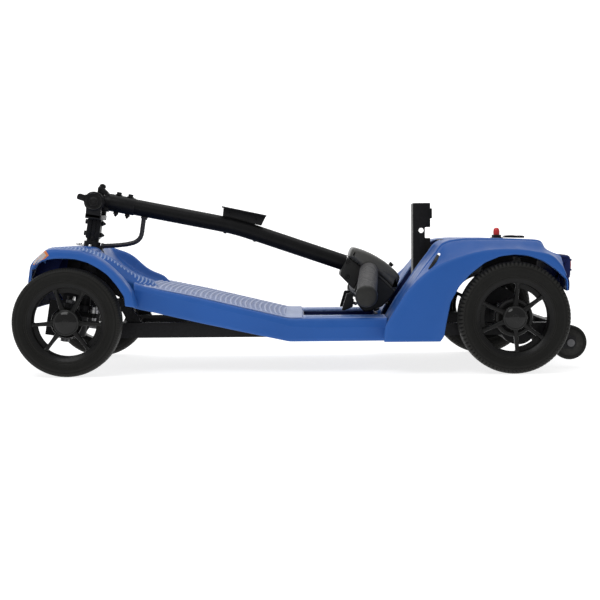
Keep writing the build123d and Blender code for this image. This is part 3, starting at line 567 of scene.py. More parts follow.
# sunken well with ribs on its floor, all in navy as painted shade for the recess
wb = []
for s in (-1, 1):
    wb.append(prism([(-3, 70), (139, 70), (139, 97.5), (-3, 97.5)], s * 99, s * 101.5, 0.6))
wb.append(box(-5, -2, -100, 100, 70, 98, 0.6))
wb.append(box(137, 139.5, -100, 100, 70, 98, 0.6))
wb.append(box(-4, 139, -101, 101, 69, 71.5, 0.5))
for k in range(7):
    wb.append(box(10 + 19 * k, 13 + 19 * k, -86, 86, 71.2, 73.2, 0.7))
obj("floor_well", wb, "chassis", "navy_plastic", BLUE_PAINTED_SHADE)

# ribbed floor mat; rib tops, border and rear end get the lighter lilac as painted highlight
X0, X1 = -292.5, -5.0
nx = 560
rows = []
ys = [-185.6, -185.6, -184.4, -181, -178.6, -176.8] + list(np.linspace(-172, 172, 21)) + [176.8, 178.6, 181, 184.4, 185.6, 185.6]
for i in range(nx + 1):
    x = X0 + (X1 - X0) * i / nx
    row = []
    for j, y in enumerate(ys):
        base = tz(x) + 1.5
        if j in (0, len(ys) - 1):
            h = -1.8
        elif j in (1, len(ys) - 2):
            h = -0.4
        elif abs(y) > 178 or x > -36:
            h = 0.55 if x > -36 else 0.3
        else:
            h = 1.35 * trap((x - 7 * (y / 180.0) ** 2 + 300) / 9.2, 0.36, 0.16) * (1 if abs(y) < 176 else 0.7) * min(1, (-36 - x) / 3 + 0.0)
        if i in (0, nx):
            h = -1.8
        row.append((x, y, base + h))
    rows.append(row)


# Mask for the painted highlight: rib tops, border and rear end get the lighter material.
def mat_highlight_mask(c):
    if c.x > -36 or abs(c.y) > 178:
        return 1
    return 1 if trap((c.x - 7 * (c.y / 180.0) ** 2 + 300) / 9.2, 0.36, 0.16) > 0.55 else 0


obj("floor_mat_ribbed", grid(rows), "chassis", "mat_lilac", LILAC, MAT_RIB_PAINTED_HIGHLIGHT, solid=0.6, flip=(-150, 0, 0), angle=40, stand_for=["floor_mat"], fmat=mat_highlight_mask, offs0=True)

# ------------------------------------------------------------------ rear shroud

SEGS = [
    ([(146, 60), (146.5, 79), (154, 98), (172.6, 129.3), (197.7, 165.5), (217.3, 194), (235.7, 217.3), (243.6, 230)], [(139, 58.7), (139.4, 85.4), (160, 118), (181, 151), (200, 170), (220, 187), (249, 202)], 80),
    ([(243.6, 230), (250, 235), (263, 239), (290, 241.8), (360, 241), (420, 238.5), (428, 236)], [(249, 202), (274, 210.7), (311, 220.3), (347, 223.5), (382.5, 222.4), (418, 216.8)], 60),
    ([(428, 236), (434, 222), (449, 214), (462, 210.5)], [(418, 216.8), (439, 212), (453, 197)], 22),
    ([(462, 210.5), (465, 206), (466, 190), (466, 150)], [(453, 197), (464, 181), (466, 165), (466, 147)], 22),
]
D, G = [], []
for a, b, n in SEGS:
    qa, qb = line(a, n), line(b, n)
    D.append(qa if not D else qa[1:])
    G.append(qb if not G else qb[1:])
D, G = np.vstack(D), np.vstack(G)
for _ in range(6):
    D[1:-1] = 0.25 * D[:-2] + 0.5 * D[1:-1] + 0.25 * D[2:]
for _ in range(30):
    G[1:-1] = 0.25 * G[:-2] + 0.5 * G[1:-1] + 0.25 * G[2:]
ARCHR = [(463, 150), (462.6, 167), (445, 184.5), (420.4, 201), (395.4, 210), (370.5, 212.2), (345.6, 209.1), (318, 198), (292.8, 178.2), (272.7, 156), (257.6, 128.6), (249.6, 91), (245.7, 67.5), (239, 58.7)][::-1]
AQ = line(ARCHR, 400, 14)
gl = np.r_[0, np.cumsum(np.linalg.norm(np.diff(G, axis=0), axis=1))]
gl = gl / gl[-1]
al = np.r_[0, np.cumsum(np.linalg.norm(np.diff(AQ, axis=0), axis=1))]
al = al / al[-1]
warp = np.interp(gl, [0, 0.2, 0.45, 0.62, 0.80, 1], [0, 0.16, 0.42, 0.60, 0.80, 1])
H = np.stack([np.interp(warp, al, AQ[:, k]) for k in (0, 1)], 1)
DN2 = normals2(D)
SCOLS = [(60, 0, 0), (64, 0, 0), (100, 0, 0), (140, 0, 0), (168, 0, 0), (176, 0, 0), (180.5, 0, 0.1), (182.6, 0, 0.7), (183.8, 0.01, 1.7), (184.6, 0.02, 3.0), (186.6, 0.045, 3.2), (187.6, 0.06, 1.8), (189, 0.09, 1.2), (192, 0.15, 0.6), (198, 0.3, 0), (206, 0.5, 0), (216, 0.73, 0), (224, 0.88, 0), (230, 0.97, 0)]
GC = [(233.2, 0.4), (235.3, 1.3), (236.8, 3.2), (237.6, 6.0)]
shroud_pts = {}
for s in (-1, 1):
    side = "left" if s < 0 else "right"
    rows = []
    for i in range(len(D)):
        d = H[i] - G[i]
        L = float(np.linalg.norm(d))
        d = d / L
        row = []
        for y, a, o in SCOLS:
            p = D[i] * (1 - a) + G[i] * a + DN2[i] * o
            row.append((p[0], s * y, p[1]))
        for y, o in GC:
            p = G[i] + d * min(o, L * 0.5)
            row.append((p[0], s * y, p[1]))
        for f in (0.25, 0.5, 0.75):
            p = G[i] + d * max(L * f, min(6.5, L * 0.55))
            row.append((p[0], s * 238.0, p[1]))
        for y, o in [(237.9, -2.6), (237.4, -0.9), (236, 0), (233, 0.3), (226, 0.6)]:
            p = H[i] + d * o
            row.append((p[0], s * y, p[1]))
        rows.append(row)
    shroud_pts[s] = np.array([p for r in rows for p in r[12:19]])
    sh = obj("rear_shroud_" + side, grid(rows), "chassis", "body_blue", BLUE, BLUE_PAINTED_SHADE, solid=2.4, flip=(350, s * 120, 120), angle=60, stand_for=["rear_shroud"] if s < 0 else ())
first = next(i for i in range(len(D)) if D[i][0] > 263)
rows = [[(D[i][0], y, D[i][1]) for y in np.linspace(-61, 61, 15)] for i in range(first, len(D))]
obj("rear_deck_centre", grid(rows), "chassis", "body_blue", BLUE, BLUE_PAINTED_SHADE, solid=2.4, flip=(350, 0, 120), angle=60)
# notch around the seat post, lined in navy as painted shade for the recess
nb = []
low = [(p[0], p[1]) for p in D[::5] if p[0] <= 262]
for s in (-1, 1):
    nb.append(prism([(x + 1.5, z - 0.5) for x, z in low] + [(263, 238), (263, 90), (158, 90)], s * 57.5, s * 60.5, 0.5))
nb.append(box(262, 265, -60, 60, 90, 239, 0.5))
nb.append(box(152, 264, -60, 60, 89.5, 92, 0.5))
for k in range(5):
    nb.append(box(259.6, 262.5, -48 + 22 * k, -44 + 22 * k, 96, 228, 0.8))
obj("post_bay", nb, "chassis", "navy_plastic", BLUE_PAINTED_SHADE)
# rounded top lips either side of the notch, in the lighter blue as painted sheen
for s in (-1, 1):
    path = [(p[0] - 0.1, s * 60, p[1] - 0.6) for p in D[::3] if p[0] <= 262]
    obj("bay_lip_" + ("left" if s < 0 else "right"), sweep(path, 1.7, 12), "chassis", "body_blue", BLUE_PAINTED_SHEEN)


def facet_y(x, z, s):
    pts = shroud_pts[s]
    k = np.argsort((pts[:, 0] - x) ** 2 + (pts[:, 2] - z) ** 2)[:3]
    return float(np.mean(pts[k, 1]))


# vent slots high on the two sides
for s in (-1, 1):
    a, b = Vector((223.0, 0, 188.4)), Vector((240.0, 0, 211.4))
    ya, yb = facet_y(a.x, a.z, s), facet_y(b.x, b.z, s)
    o = Vector((a.x, ya, a.z))
    u = (Vector((b.x, yb, b.z)) - o)
    ln = u.length
    u.normalize()
    w = Vector((-0.20, s * 0.95, 0.15))
    w = (w - u * w.dot(u)).normalized()
    v = w.cross(u)
    parts = [prism([(-1.5, -4.0), (ln + 1.5, -4.0), (ln + 1.5, 4.0), (-1.5, 4.0)], -4.0, 1.2, 0.7, 2, (o, u, v, w))]
    for k in range(9):
        parts.append(prism([(1.2 + 2.4 * k, -3.0), (2.3 + 2.4 * k, -3.0), (2.3 + 2.4 * k, 3.0), (1.2 + 2.4 * k, 3.0)], 0.4, 1.8, 0.3, 1, (o, u, v, w)))
    tip = prism([(ln - 4, -3.4), (ln + 3.6, -3.4), (ln + 3.6, 2.0), (ln - 1, 3.4)], -3.0, 2.0, 0.5, 2, (o, u, v, w))
    obj("vent_" + ("left" if s < 0 else "right"), parts + [(tip, 1)], "chassis", "black_plastic", BLACKP, CHROME, stand_for=["deck_trim"] if s < 0 else ())
# black base of the freewheel lever and its ears
obj("lever_base", [box(353.5, 374, -73, -47, 240.4, 242.2, 0.7), box(356, 371, -72.5, -68.5, 241.5, 247, 1.2), box(356, 371, -51.5, -47.5, 241.5, 247, 1.2), cyl((363.5, -74, 245.2), (0, 1, 0), 1.4, 4, 0.3), cyl((363.5, -50, 245.2), (0, 1, 0), 1.4, 4, 0.3)], "chassis", "black_plastic", BLACKP)

# ------------------------------------------------------------------ rear bumper and lamps

bo = [(455, 209.4), (470, 210.4), (482, 209.6), (487.5, 206.5), (488.5, 200), (488.5, 172), (486.5, 166), (482, 163.6), (455, 163.2)]
y_, o_ = both([0, 120, 140, 146, 149, 150], [0, 0, 0.3, 1.4, 3.4, 6])
parts = [pillow(bo, y_, o_, 80, 1)]
for z in (199, 189, 179):
    fin = [(486, z - 1.9), (491.6, z - 1.7), (492.8, z - 0.8), (492.8, z + 0.8), (491.6, z + 1.7), (486, z + 1.9)]
    parts.append(prism(fin, -95, 95, 0.5))
for s in (-1, 1):
    parts.append(prism([(485, 180), (489.2, 180), (489.2, 184), (485, 184)], s * 102.5, s * 147.5, 0.6))
    parts.append(prism([(485, 198), (489.2, 198), (489.2, 202), (485, 202)], s * 102.5, s * 147.5, 0.6))
    parts.append(cyl((470, s * 125, 210.0), (0, 0, 1), 4.2, 0.6, 0.3, 28))
# The bumper shell is navy: painted shade for the shaded rear end.
obj("rear_bumper_shell", parts, "chassis", "navy_plastic", BLUE_PAINTED_SHADE, stand_for=["rear_bumper"])
parts = []
for s in (-1, 1):
    parts.append(prism([(484, 183), (487.4, 183), (488.4, 186), (488.7, 191), (488.4, 196), (487.4, 199), (484, 199)], s * 105, s * 145, 0.8))
    for k in range(9):
        parts.append(prism([(487.8, 184.5), (489.0, 184.5), (489.0, 197.5), (487.8, 197.5)], s * (108 + 4 * k), s * (109.6 + 4 * k), 0.3, 1))
obj("rear_lamp_lenses", parts, "chassis", "lamp_red", REDLENS, stand_for=["rear_lamps"])

# headlamps on the slope of the nose
parts = []
for s in (-1, 1):
    a, b = Vector((-497.2, 0, 200.8)), Vector((-471.6, 0, 225.6))
    u = (b - a).normalized()
    w = Vector((-u.z, 0, u.x))
    ln = (b - a).length
    v = Vector((0, 1, 0))
    o = Vector((a.x, s * 123, a.z)) + w * 0.4
    out = [(-1 + 0 * k, 0) for k in range(0)]
    oval = [(ln / 2 + (ln / 2 + 0.5) * math.copysign(abs(math.cos(t)) ** 0.6, math.cos(t)), 26.5 * math.copysign(abs(math.sin(t)) ** 0.6, math.sin(t))) for t in np.linspace(0, 2 * math.pi, 48, endpoint=False)]
    lens = [(ln / 2 + (p - ln / 2) * 0.86, q * 0.9) for p, q in oval]
    parts.append((prism(oval, -1.2, 1.6, 0.5, 2, (o, u, v, w)), 1))
    dome = prism(lens, 0.5, 2.7, 1.1, 3, (o, u, v, w))
    parts.append((dome, 0))
    for k in range(6):
        c = ln * (0.2 + 0.12 * k)
        parts.append((prism([(c - 0.5, -19), (c + 0.5, -19), (c + 0.5, 19), (c - 0.5, 19)], 2.4, 3.1, 0.25, 1, (o, u, v, w)), 0))
for s in (-1, 1):
    for grow, mi, z0, z1, o1 in ((0.5, 1, 198.5, 226.6, 11.5), (1.0, 0, 201.5, 224.8, 9.0)):
        rows = []
        for i in range(110):
            if not z0 < F[i][1] < z1 or F[i][0] > -458:
                continue
            d = A[i] - F[i]
            L = float(np.linalg.norm(d))
            d = d / L
            kk = (min(238.0, interp(F[i][0], PLAN)) - 186) / 52
            row = []
            for y, o in [(190, 0.5), (197, 0), (212, 0), (223, 0.1), (229, 0.5), (233, 1.4), (235.8, 3.0), (237.2, 5.4), (237.9, o1 * 0.8), (237.9, o1)]:
                row.append((F[i][0] + d[0] * (min(o, L * 0.8) - grow * (1 if y < 234 else 0.2)), s * (186 + (y + (grow * 0.5 if y > 230 else 0) - 186) * kk), F[i][1] + d[1] * (min(o, L * 0.8) - grow * (1 if y < 234 else 0.2))))
            rows.append(row)
        if len(rows) > 2:
            parts.append((grid(rows), mi))
obj("headlamp_lenses", parts, "chassis", "lamp_clear", CLEAR, AMBER, stand_for=["front_lamps"])

# ------------------------------------------------------------------ wheels


def wheel(side, s, cx, cz, rr, base_angles, rear, body):
    end = "rear" if rear else "front"
    yc = s * 220.0
    k = rr / 97.2
    half = [(17.6, 66.2), (19.6, 68.2), (20.6, 69.6), (21.4, 70.6), (21.7, 71.6), (21.5, 72.6), (22.2, 73.6), (22.6, 74.4), (22.2, 75.0), (23.0, 76.4), (23.9, 79.5), (24.6, 83.2), (24.9, 86.2), (24.6, 88.2), (24.0, 88.9), (24.3, 89.7), (24.1, 91.0), (23.0, 93.0), (21.3, 94.9), (18.6, 96.2), (15.5, 96.8), (12.0, 97.1), (11.4, 96.2), (10.0, 96.1), (9.4, 97.1), (5.0, 97.2), (4.4, 96.3), (3.2, 96.3), (2.6, 97.2)]
    half = [(a * 0.996, r if r < 73 else 73 + (r - 73) * (rr - 73) / (97.2 - 73)) for a, r in half]
    prof = half + [(-a, r) for a, r in half[::-1]]
    m = len(prof)
    teeth = 84 if rear else 132

    def disp(j, ang):
        jj = j if j < len(half) else m - 1 - j
        r = half[jj][1]
        if rear and 15 <= jj <= 20:
            t = trap(ang * teeth / (2 * math.pi) + (0.5 if j >= len(half) else 0), 0.36, 0.12)
            return -2.3 * t * (1 if jj in (16, 17, 18, 19) else 0.5)
        if not rear and 16 <= jj <= 19:
            t = trap(ang * teeth / (2 * math.pi), 0.3, 0.2)
            return -0.55 * t
        return 0.0

    tb = lathe(prof, (cx, yc, cz), (0, 1, 0), teeth * 4, closed=True, disp=disp)
    obj("%s_tyre_%s_tread" % (end, side), tb, body, "tyre_rubber", TYRE, angle=32, stand_for=["%s_tyre_%s" % (end, side)])
    # rim: barrel with flanges, hub, spokes
    parts = []
    bar = [(-20.5, 70.2), (-19.2, 66.5), (-17.2, 65.6), (-12, 64.6), (-4, 62.6), (4, 62.6), (12, 64.6), (17.2, 65.6), (19.2, 66.5), (20.5, 70.2), (19.6, 70.9), (18.2, 70.0), (15.4, 65.9), (12, 65.9)]
    bar = [(-20.4, 69.6), (-19.6, 68.0), (-18.0, 64.8), (-16, 62.2), (-10, 61.0), (10, 61.0), (16, 62.2), (18.0, 64.8), (19.6, 68.0), (20.4, 69.6), (19.2, 69.4), (17.0, 66.0), (-17.0, 66.0), (-19.2, 69.4)]
    parts.append(lathe(bar, (cx, yc, cz), (0, 1, 0), 128, closed=True))
    parts.append(lathe([(-15, 9.0), (-15, 20), (-13.5, 21.8), (-8, 22), (8, 22), (14, 21.8), (16.3, 20.5), (16.3, 9.0)], (cx, yc, cz), (0, s, 0), 72, closed=True))
    parts.append(lathe([(9, 21.8), (10.6, 27), (11.2, 27.6), (9.2, 28.3), (6, 27.6), (3, 26), (0, 22)], (cx, yc, cz), (0, s, 0), 72))
    if rear:
        parts.append(lathe([(-10, 21), (-10, 33), (-7, 34), (4, 34), (6.2, 32.5), (6.2, 21)], (cx, yc, cz), (0, s, 0), 72, closed=True))
        for a in range(3):
            t = rad(30 + 120 * a)
            parts += bolt((cx + 28 * math.cos(t), yc + s * 6.2, cz + 28 * math.sin(t)), (0, s, 0), 3.2, 2.6, 0.6)
    for b in base_angles:
        for da in (-24, 24):
            t = rad(b + da)
            e, g = Vector((math.cos(t), 0, math.sin(t))), Vector((-math.sin(t), 0, math.cos(t)))
            rows = []
            for f in np.linspace(0, 1, 9):
                r0 = 20 + 42.5 * f
                wd = 3.4 + 1.2 * (1 - f) ** 3 * 2 + 2.2 * max(0, f - 0.86) / 0.14
                th = 7.5 - 1.5 * f + 2 * max(0, f - 0.86) / 0.14
                yo = s * (5.5 - 1.0 * math.sin(f * math.pi))
                c = Vector((cx, yc + yo, cz)) + e * r0
                row = []
                for q in range(16):
                    aa = 2 * math.pi * q / 16
                    ca, sa = math.cos(aa), math.sin(aa)
                    row.append(c + g * wd * math.copysign(abs(ca) ** 0.55, ca) + Vector((0, 1, 0)) * th * math.copysign(abs(sa) ** 0.55, sa))
                rows.append(row)
            parts.append(grid(rows, close_v=True, cap=True))
        # web plate between each pair of spokes near the rim, with a moulded lip
        t0, t1 = rad(b - 24), rad(b + 24)
        rows = []
        for r0, y0 in [(52.5, 2.4), (53, 3.4), (54.5, 3.8), (60, 4.4), (62, 4.6)]:
            rows.append([(cx + r0 * math.cos(t), yc + s * y0, cz + r0 * math.sin(t)) for t in np.linspace(t0, t1, 22)])
        back = []
        for r0, y0 in [(62, -3.2), (60, -3.2), (54.5, -2.6), (53, -1.2), (52.5, 2.4)]:
            back.append([(cx + r0 * math.cos(t), yc + s * y0, cz + r0 * math.sin(t)) for t in np.linspace(t0, t1, 22)])
        parts.append(grid(rows + back))
    obj("%s_rim_%s_spoked" % (end, side), parts, body, "rim_black", RIM, stand_for=["%s_rim_%s" % (end, side)])
    # glossy dished hub cap with its outer lip
    r1 = 22.0 if rear else 23.5
    prof = [(15.0, 8), (15.0, r1 - 3), (16.2, r1 - 0.9), (17.8, r1), (19.6, r1 - 0.15), (20.6, r1 - 1.0), (20.9, r1 - 2.4), (20.4, r1 - 3.6), (20.8, r1 - 4.6), (22.2, r1 - 6.2), (23.4, r1 - 9), (24.2, r1 - 12.5), (24.6, 5), (24.7, 0)]
    parts = [lathe(prof, (cx, yc, cz), (0, s, 0), 96)]
    parts.append(lathe([(24.4, 6.4), (24.75, 6.0), (24.78, 5.4), (24.4, 5.0)], (cx, yc, cz), (0, s, 0), 60, closed=True))
    obj("%s_cap_%s_gloss" % (end, side), parts, body, "cap_gloss", GLOSS, stand_for=["%s_hub_cap_%s" % (end, side)])


FB, RB = (85, 208, 332), (60, 178.5, 299.5)
for side, s in (("left", -1), ("right", 1)):
    wheel(side, s, -424.7, 97.2, 97.2, FB, False, side + "_front_wheel")
    wheel(side, s, 371.4, 100.0, 100.0, RB, True, side + "_rear_wheel")
    # anti-tip roller
    prof = [(-12.5, 8), (-12.5, 24), (-11.8, 25.2), (-11.2, 29.5), (-10.0, 31.2), (-7.5, 31.9), (-2.6, 32.0), (-2.0, 31.2), (2.0, 31.2), (2.6, 32.0), (7.5, 31.9), (10.0, 31.2), (11.2, 29.5), (11.8, 25.2), (12.5, 24), (12.5, 8)]
    hub = [(-12.3, 4.2), (-12.3, 14), (-10.2, 15), (-10.0, 22), (-11.2, 24.5), (-6, 24.6), (6, 24.6), (11.2, 24.5), (10.0, 22), (10.2, 15), (12.3, 14), (12.3, 4.2)]
    parts = [(lathe(prof, (489.9, s * 117.0, 46.8), (0, 1, 0), 90, closed=True), 0), (lathe(hub, (489.9, s * 117.0, 46.8), (0, 1, 0), 60, closed=True), 1)]
    obj("anti_tip_roller_" + side, parts, side + "_anti_tip", "tyre_rubber", TYRE, RIM, stand_for=["anti_tip_wheel_" + side])

# ------------------------------------------------------------------ steering column and hinge

ca, sa = math.cos(rad(8.79)), math.sin(rad(8.79))
C0 = Vector((-431.8, 0, 97.2))
U, V, Y = Vector((sa, 0, ca)), Vector((ca, 0, -sa)), Vector((0, 1, 0))
RK = (C0, V, U, Y)


def rk(x, y, z):
    return C0 + V * x + Y * y + U * z


HX, HZ = -400.6, 315.8
parts = [prism([(-13, 150), (13, 150), (13, 188), (11, 193), (-11, 193), (-13, 188)], -8, 8, 1.2, 2, RK)]
for s in (-1, 1):
    parts.append(prism([(-13, 149.6), (-4.5, 149.6), (-4.5, 190), (-13, 190)], s * 6, s * 14, 1.4, 3, RK))
    parts.append(prism([(4.5, 149.6), (13, 149.6), (13, 190), (4.5, 190)], s * 6, s * 14, 1.4, 3, RK))
    parts.append(prism([(-4.6, 151), (4.6, 151), (4.6, 190), (-4.6, 190)], s * 6, s * 11.5, 0.8, 2, RK))
parts.append(prism([(-15, 187.5), (15, 187.5), (15, 197), (-15, 197)], -42, 42, 1.6, 3, RK))
stem_dir = math.atan2(-U.z, -U.x)
for s in (-1, 1):
    # cheek plate: a disc at the hinge running down into the bridge
    out = []
    for t in np.linspace(stem_dir + rad(128), stem_dir + rad(360 - 128), 40):
        out.append((HX + 19 * math.cos(t), HZ + 19 * math.sin(t)))
    for lx, lz in ((-14, 190), (14, 190)):
        p = rk(lx, 0, lz)
        out.append((p.x, p.z))
    # order them round
    cx0 = sum(p[0] for p in out) / len(out)
    cz0 = sum(p[1] for p in out) / len(out)
    out.sort(key=lambda p: math.atan2(p[1] - cz0, p[0] - cx0))
    parts.append(prism(out, s * 30.5, s * 42, 1.3, 3))
    parts.append(ring((HX, s * 41.8, HZ), (0, s, 0), 16.9, 18.8, 0.9, 0.4, 64))
parts.append(prism([(-419, 316), (-433, 321), (-433.5, 325), (-431, 330.5), (-426, 331.5), (-417, 328)], 30.5, 38, 1.2, 2))
parts.append(prism([(-419, 316), (-433, 321), (-433.5, 325), (-431, 330.5), (-426, 331.5), (-417, 328)], -38, -30.5, 1.2, 2))
obj("steering_stem_block", parts, "steering", "frame_black", FRAMEB, stand_for=["steering_stem"])
col = [cyl(rk(0, 0, -40), U, 12.0, 195, 1.0, 48), lathe([(124.5, 11.5), (124.5, 15.2), (125.3, 16.0), (132, 16.0), (133, 15.2), (134.5, 15.2), (135.5, 16.0), (143, 16.0), (144, 15), (144.4, 11.5)], C0, U, 56, closed=True)]
obj("steering_column_collar", col, "steering", "frame_black", FRAMEB)
hb = []
for s in (-1, 1):
    prof = [(42.4, 0), (42.4, 16.4), (43.2, 17.0), (44.4, 16.8), (44.9, 16.0), (44.9, 14.9), (44.3, 14.2), (44.3, 12.3), (44.8, 11.8), (44.8, 10.8), (44.3, 10.3), (44.0, 5.5), (44.6, 5.0), (44.6, 0)]
    hb.append(lathe(prof, (HX, 0, HZ), (0, s, 0), 72))
    hb.append(ring((HX, s * 43.6, HZ), (0, s, 0), 9.0, 10.2, 1.2, 0.3, 64))
    hb.append(prism([(HX - 3.2, HZ - 0.8), (HX + 3.2, HZ - 0.8), (HX + 3.2, HZ + 0.8), (HX - 3.2, HZ + 0.8)], s * 44.3, s * 44.95, 0.2, 1))
for z in (158.5, 181):
    hb += bolt(rk(-13, 0, z), -V, 5.4, 4.2, 1.4)
    hb += nut(rk(13, 0, z), V, 5.4, 4.0, 4.2)
obj("hinge_caps_and_bolts", hb, "steering", "frame_black", GLOSS, stand_for=["hinge_pin_and_bolts"])
# round the column base: trim ring with small bright screws
parts = [(lathe([(131.9, 25.5), (134.0, 25.5), (135.2, 26.2), (135.6, 28), (135.2, 29.8), (134.0, 31), (131.9, 31)], C0, U, 72, closed=True), 0)]
for k in range(9):
    t = rad(60 + 30 * k)
    p = C0 + U * 134.6 + V * (28.2 * math.cos(t)) + Y * (28.2 * math.sin(t))
    if p.x < -396:
        parts.append((lathe([(-1.2, 0), (-1.2, 3.0), (2.2, 3.0), (3.6, 2.2), (4.2, 0)], p, U, 18), 0))
bez = obj("column_trim_ring", parts, "chassis", "chrome_trim", CHROME, stand_for=["column_bezel"])
cut(bez, box(-396.0, -360, -40, 40, 215, 250, 0))

# ------------------------------------------------------------------ tiller

T0, T1, T2 = (-384.0, 316.7), (-132.0, 266.4), (78.0, 194.4)
base = line([T0, T1, T2], 260)
sm = base.copy()
for _ in range(230):
    sm[1:-1] = 0.25 * sm[:-2] + 0.5 * sm[1:-1] + 0.25 * sm[2:]
path = [(a, 0, b) for a, b in sm[::2]] + [(T2[0], 0, T2[1])]
tiller_tube = obj("tiller_tube_bent", [sweep(path, 15.5, 48)], "tiller", "frame_black", FRAMEB, stand_for=["tiller_tube"])
tdir = (Vector((T1[0], 0, T1[1])) - Vector((T0[0], 0, T0[1]))).normalized()
tper = Vector((-tdir.z, 0, tdir.x))
A0 = Vector((T0[0], 0, T0[1]))
parts = [lathe([(-29.3, 11), (-29.3, 17.2), (-28.2, 18.4), (-6, 18.4), (-5, 17.8), (5, 17.8), (6, 18.4), (28.2, 18.4), (29.3, 17.2), (29.3, 11)], (HX, 0, HZ), (0, 1, 0), 72, closed=True)]
parts.append(lathe([(4, 15.9), (8, 16.6), (12, 16.9), (56, 16.8), (58, 16.3), (58.5, 15.3), (4, 15.3)], A0, tdir, 64, closed=True))
parts.append(prism([(HX + 2, HZ + 6), (HX + 26, HZ + 16), (HX + 30, HZ - 2), (HX + 22, HZ - 20), (HX + 4, HZ - 14)], -12, 12, 2.2, 3))
for s in (-1, 1):
    parts.append(prism([(-398, 331), (-396.5, 343.5), (-392, 345.8), (-387.5, 344), (-378, 334), (-374, 328)], s * 6.2, s * 10.4, 0.9, 2))
obj("tiller_barrel", parts, "tiller", "frame_black", FRAMEB, stand_for=["tiller_hinge_block"])
parts = []
for dd in (24, 46.5):
    c = A0 + tdir * dd
    parts += bolt(c + tper * 16.7, tper, 5.4, 4.4, 1.4)
    parts += nut(c - tper * 16.7, -tper, 5.4, 4.4, 4.2)
for x, z in ((-153, 255.5), (-96, 239)):
    parts.append(lathe([(-3, 0), (-3, 4.4), (0.6, 4.4), (2.4, 3.4), (3.5, 1.6), (3.7, 0)], (x, 0, z + 1.0), (-0.2, 0, -0.98), 24))
parts.append(cyl((-391.5, -10.9, 339.5), (0, 1, 0), 3.0, 21.8, 0.5))
obj("tiller_bolts", parts, "tiller", "frame_black", FRAMEB, stand_for=["tiller_fasteners"])
parts = [pillow([(-395.3, 339.5), (-395.5, 345), (-392, 350.2), (-387, 350.6), (-383, 347.5), (-382.5, 343), (-387.6, 339.5)], *both([0, 4.2, 5.2, 5.5], [0, 0, 0.5, 1.4]), 48, 1), cyl((-391.5, -5.6, 339.5), (0, 1, 0), 4.2, 11.2, 0.5)]
obj("lock_lever_tab", parts, "lock_lever", "frame_black", FRAMEB, stand_for=["fold_lock_lever"])

# accessory bracket on top of the tube
web = [(-157.5, 285.2), (-155.8, 303.4), (-73.8, 285.8), (-82.8, 267.6), (-112, 274)]
lip = [(-158.5, 303.0), (-158.2, 306.0), (-72.5, 287.6), (-73.5, 284.4)]
parts = [prism(web, -2, 2, 0.7), prism(lip, -16, 16, 1.0, 3)]
for s in (-1, 1):
    parts.append(lathe([(0, 0), (0, 3.3), (1.0, 3.0), (1.5, 1.6), (1.5, 0)], (-145, s * 2, 291.5), (0, s, 0), 24))
    parts.append(lathe([(0, 0), (0, 3.3), (1.0, 3.0), (1.5, 1.6), (1.5, 0)], (-92, s * 2, 279), (0, s, 0), 24))
br = obj("accessory_hook_bracket", parts, "tiller", "frame_black", FRAMEB, stand_for=["accessory_bracket"])

# ------------------------------------------------------------------ control head

DOME = [(84, 206), (92.3, 225.3), (110.6, 220.6), (137.8, 207.8), (163, 190), (181.6, 170.4), (180, 160), (172, 141), (160, 153), (131, 178), (113, 184)]
BRK = [(84, 206), (113, 184), (93.5, 144.6), (67.2, 171.8), (70, 182)]
DASH = [(113, 184), (131, 178), (160, 153), (172, 141), (164.5, 129.5), (146.8, 112.1), (127.2, 104), (113, 101.8), (103, 112), (100, 130), (93.5, 144.6)]
DOME_T = [(84, 206), (86.5, 216), (89.5, 222.6), (93, 225.2), (98, 224.6), (110.6, 220.6), (124.5, 214.6), (137.8, 207.6), (151, 199.2), (163, 189.8), (173.5, 180), (180, 172), (181.6, 167), (180, 160), (176.4, 150.6), (172, 141), (166, 147), (160, 153), (146, 166), (131, 178), (122, 181.5), (113, 184), (98, 195.4)]
y_, o_ = both([0, 30, 42, 48, 52, 54.6, 56.4, 57.4, 57.9], [0, 0, 0.25, 0.9, 2.1, 3.6, 5.4, 7.2, 9.2])
parts = [(pillow(DOME_T, y_, o_, 150, 1), 0)]
PEG = Vector((168.9, 0, 191.9))
PD = Vector((0.71, 0, 0.70)).normalized()
parts.append((lathe([(-8, 0), (-8, 3.6), (0.6, 3.6), (1.4, 4.5), (5.2, 4.5), (6.2, 3.8), (6.4, 0)], PEG - PD * 4.6, PD, 32), 1))
parts.append((prism([(-1.4, -5.0), (1.4, -5.0), (1.4, 5.0), (-1.4, 5.0)], 1.0, 2.4, 0.4, 2, (PEG - PD * 1.0, axes(PD)[1], axes(PD)[2], PD)), 1))
obj("head_dome", parts, "tiller", "head_grey", GREY, BLACKP, stand_for=["head_cover"], angle=50)
clamp = obj("head_clamp_block", [prism(BRK, -44.9, 44.9, 2.2, 4)], "tiller", "head_grey", DARK, stand_for=["head_clamp"], angle=50)
for x, z in ((82.4, 197.4), (82.2, 168.6)):
    cut(clamp, cyl((x, -60, z), (0, 1, 0), 4.8, 18.5, 0, 32))
    cut(clamp, cyl((x, 41.5, z), (0, 1, 0), 4.8, 18.5, 0, 32))
parts = []
for x, z in ((82.4, 197.4), (82.2, 168.6)):
    for s in (-1, 1):
        parts.append(lathe([(0, 0), (0, 4.0), (1.1, 4.0), (1.5, 3.6), (1.5, 2.0), (0.6, 1.9), (0.6, 0)], (x, s * 41.4, z), (0, s, 0), 24))
obj("head_clamp_screws", parts, "tiller", "head_dark", BLACKP)
parts = [(prism(DASH, -56, 56, 3.6, 5), 0)]
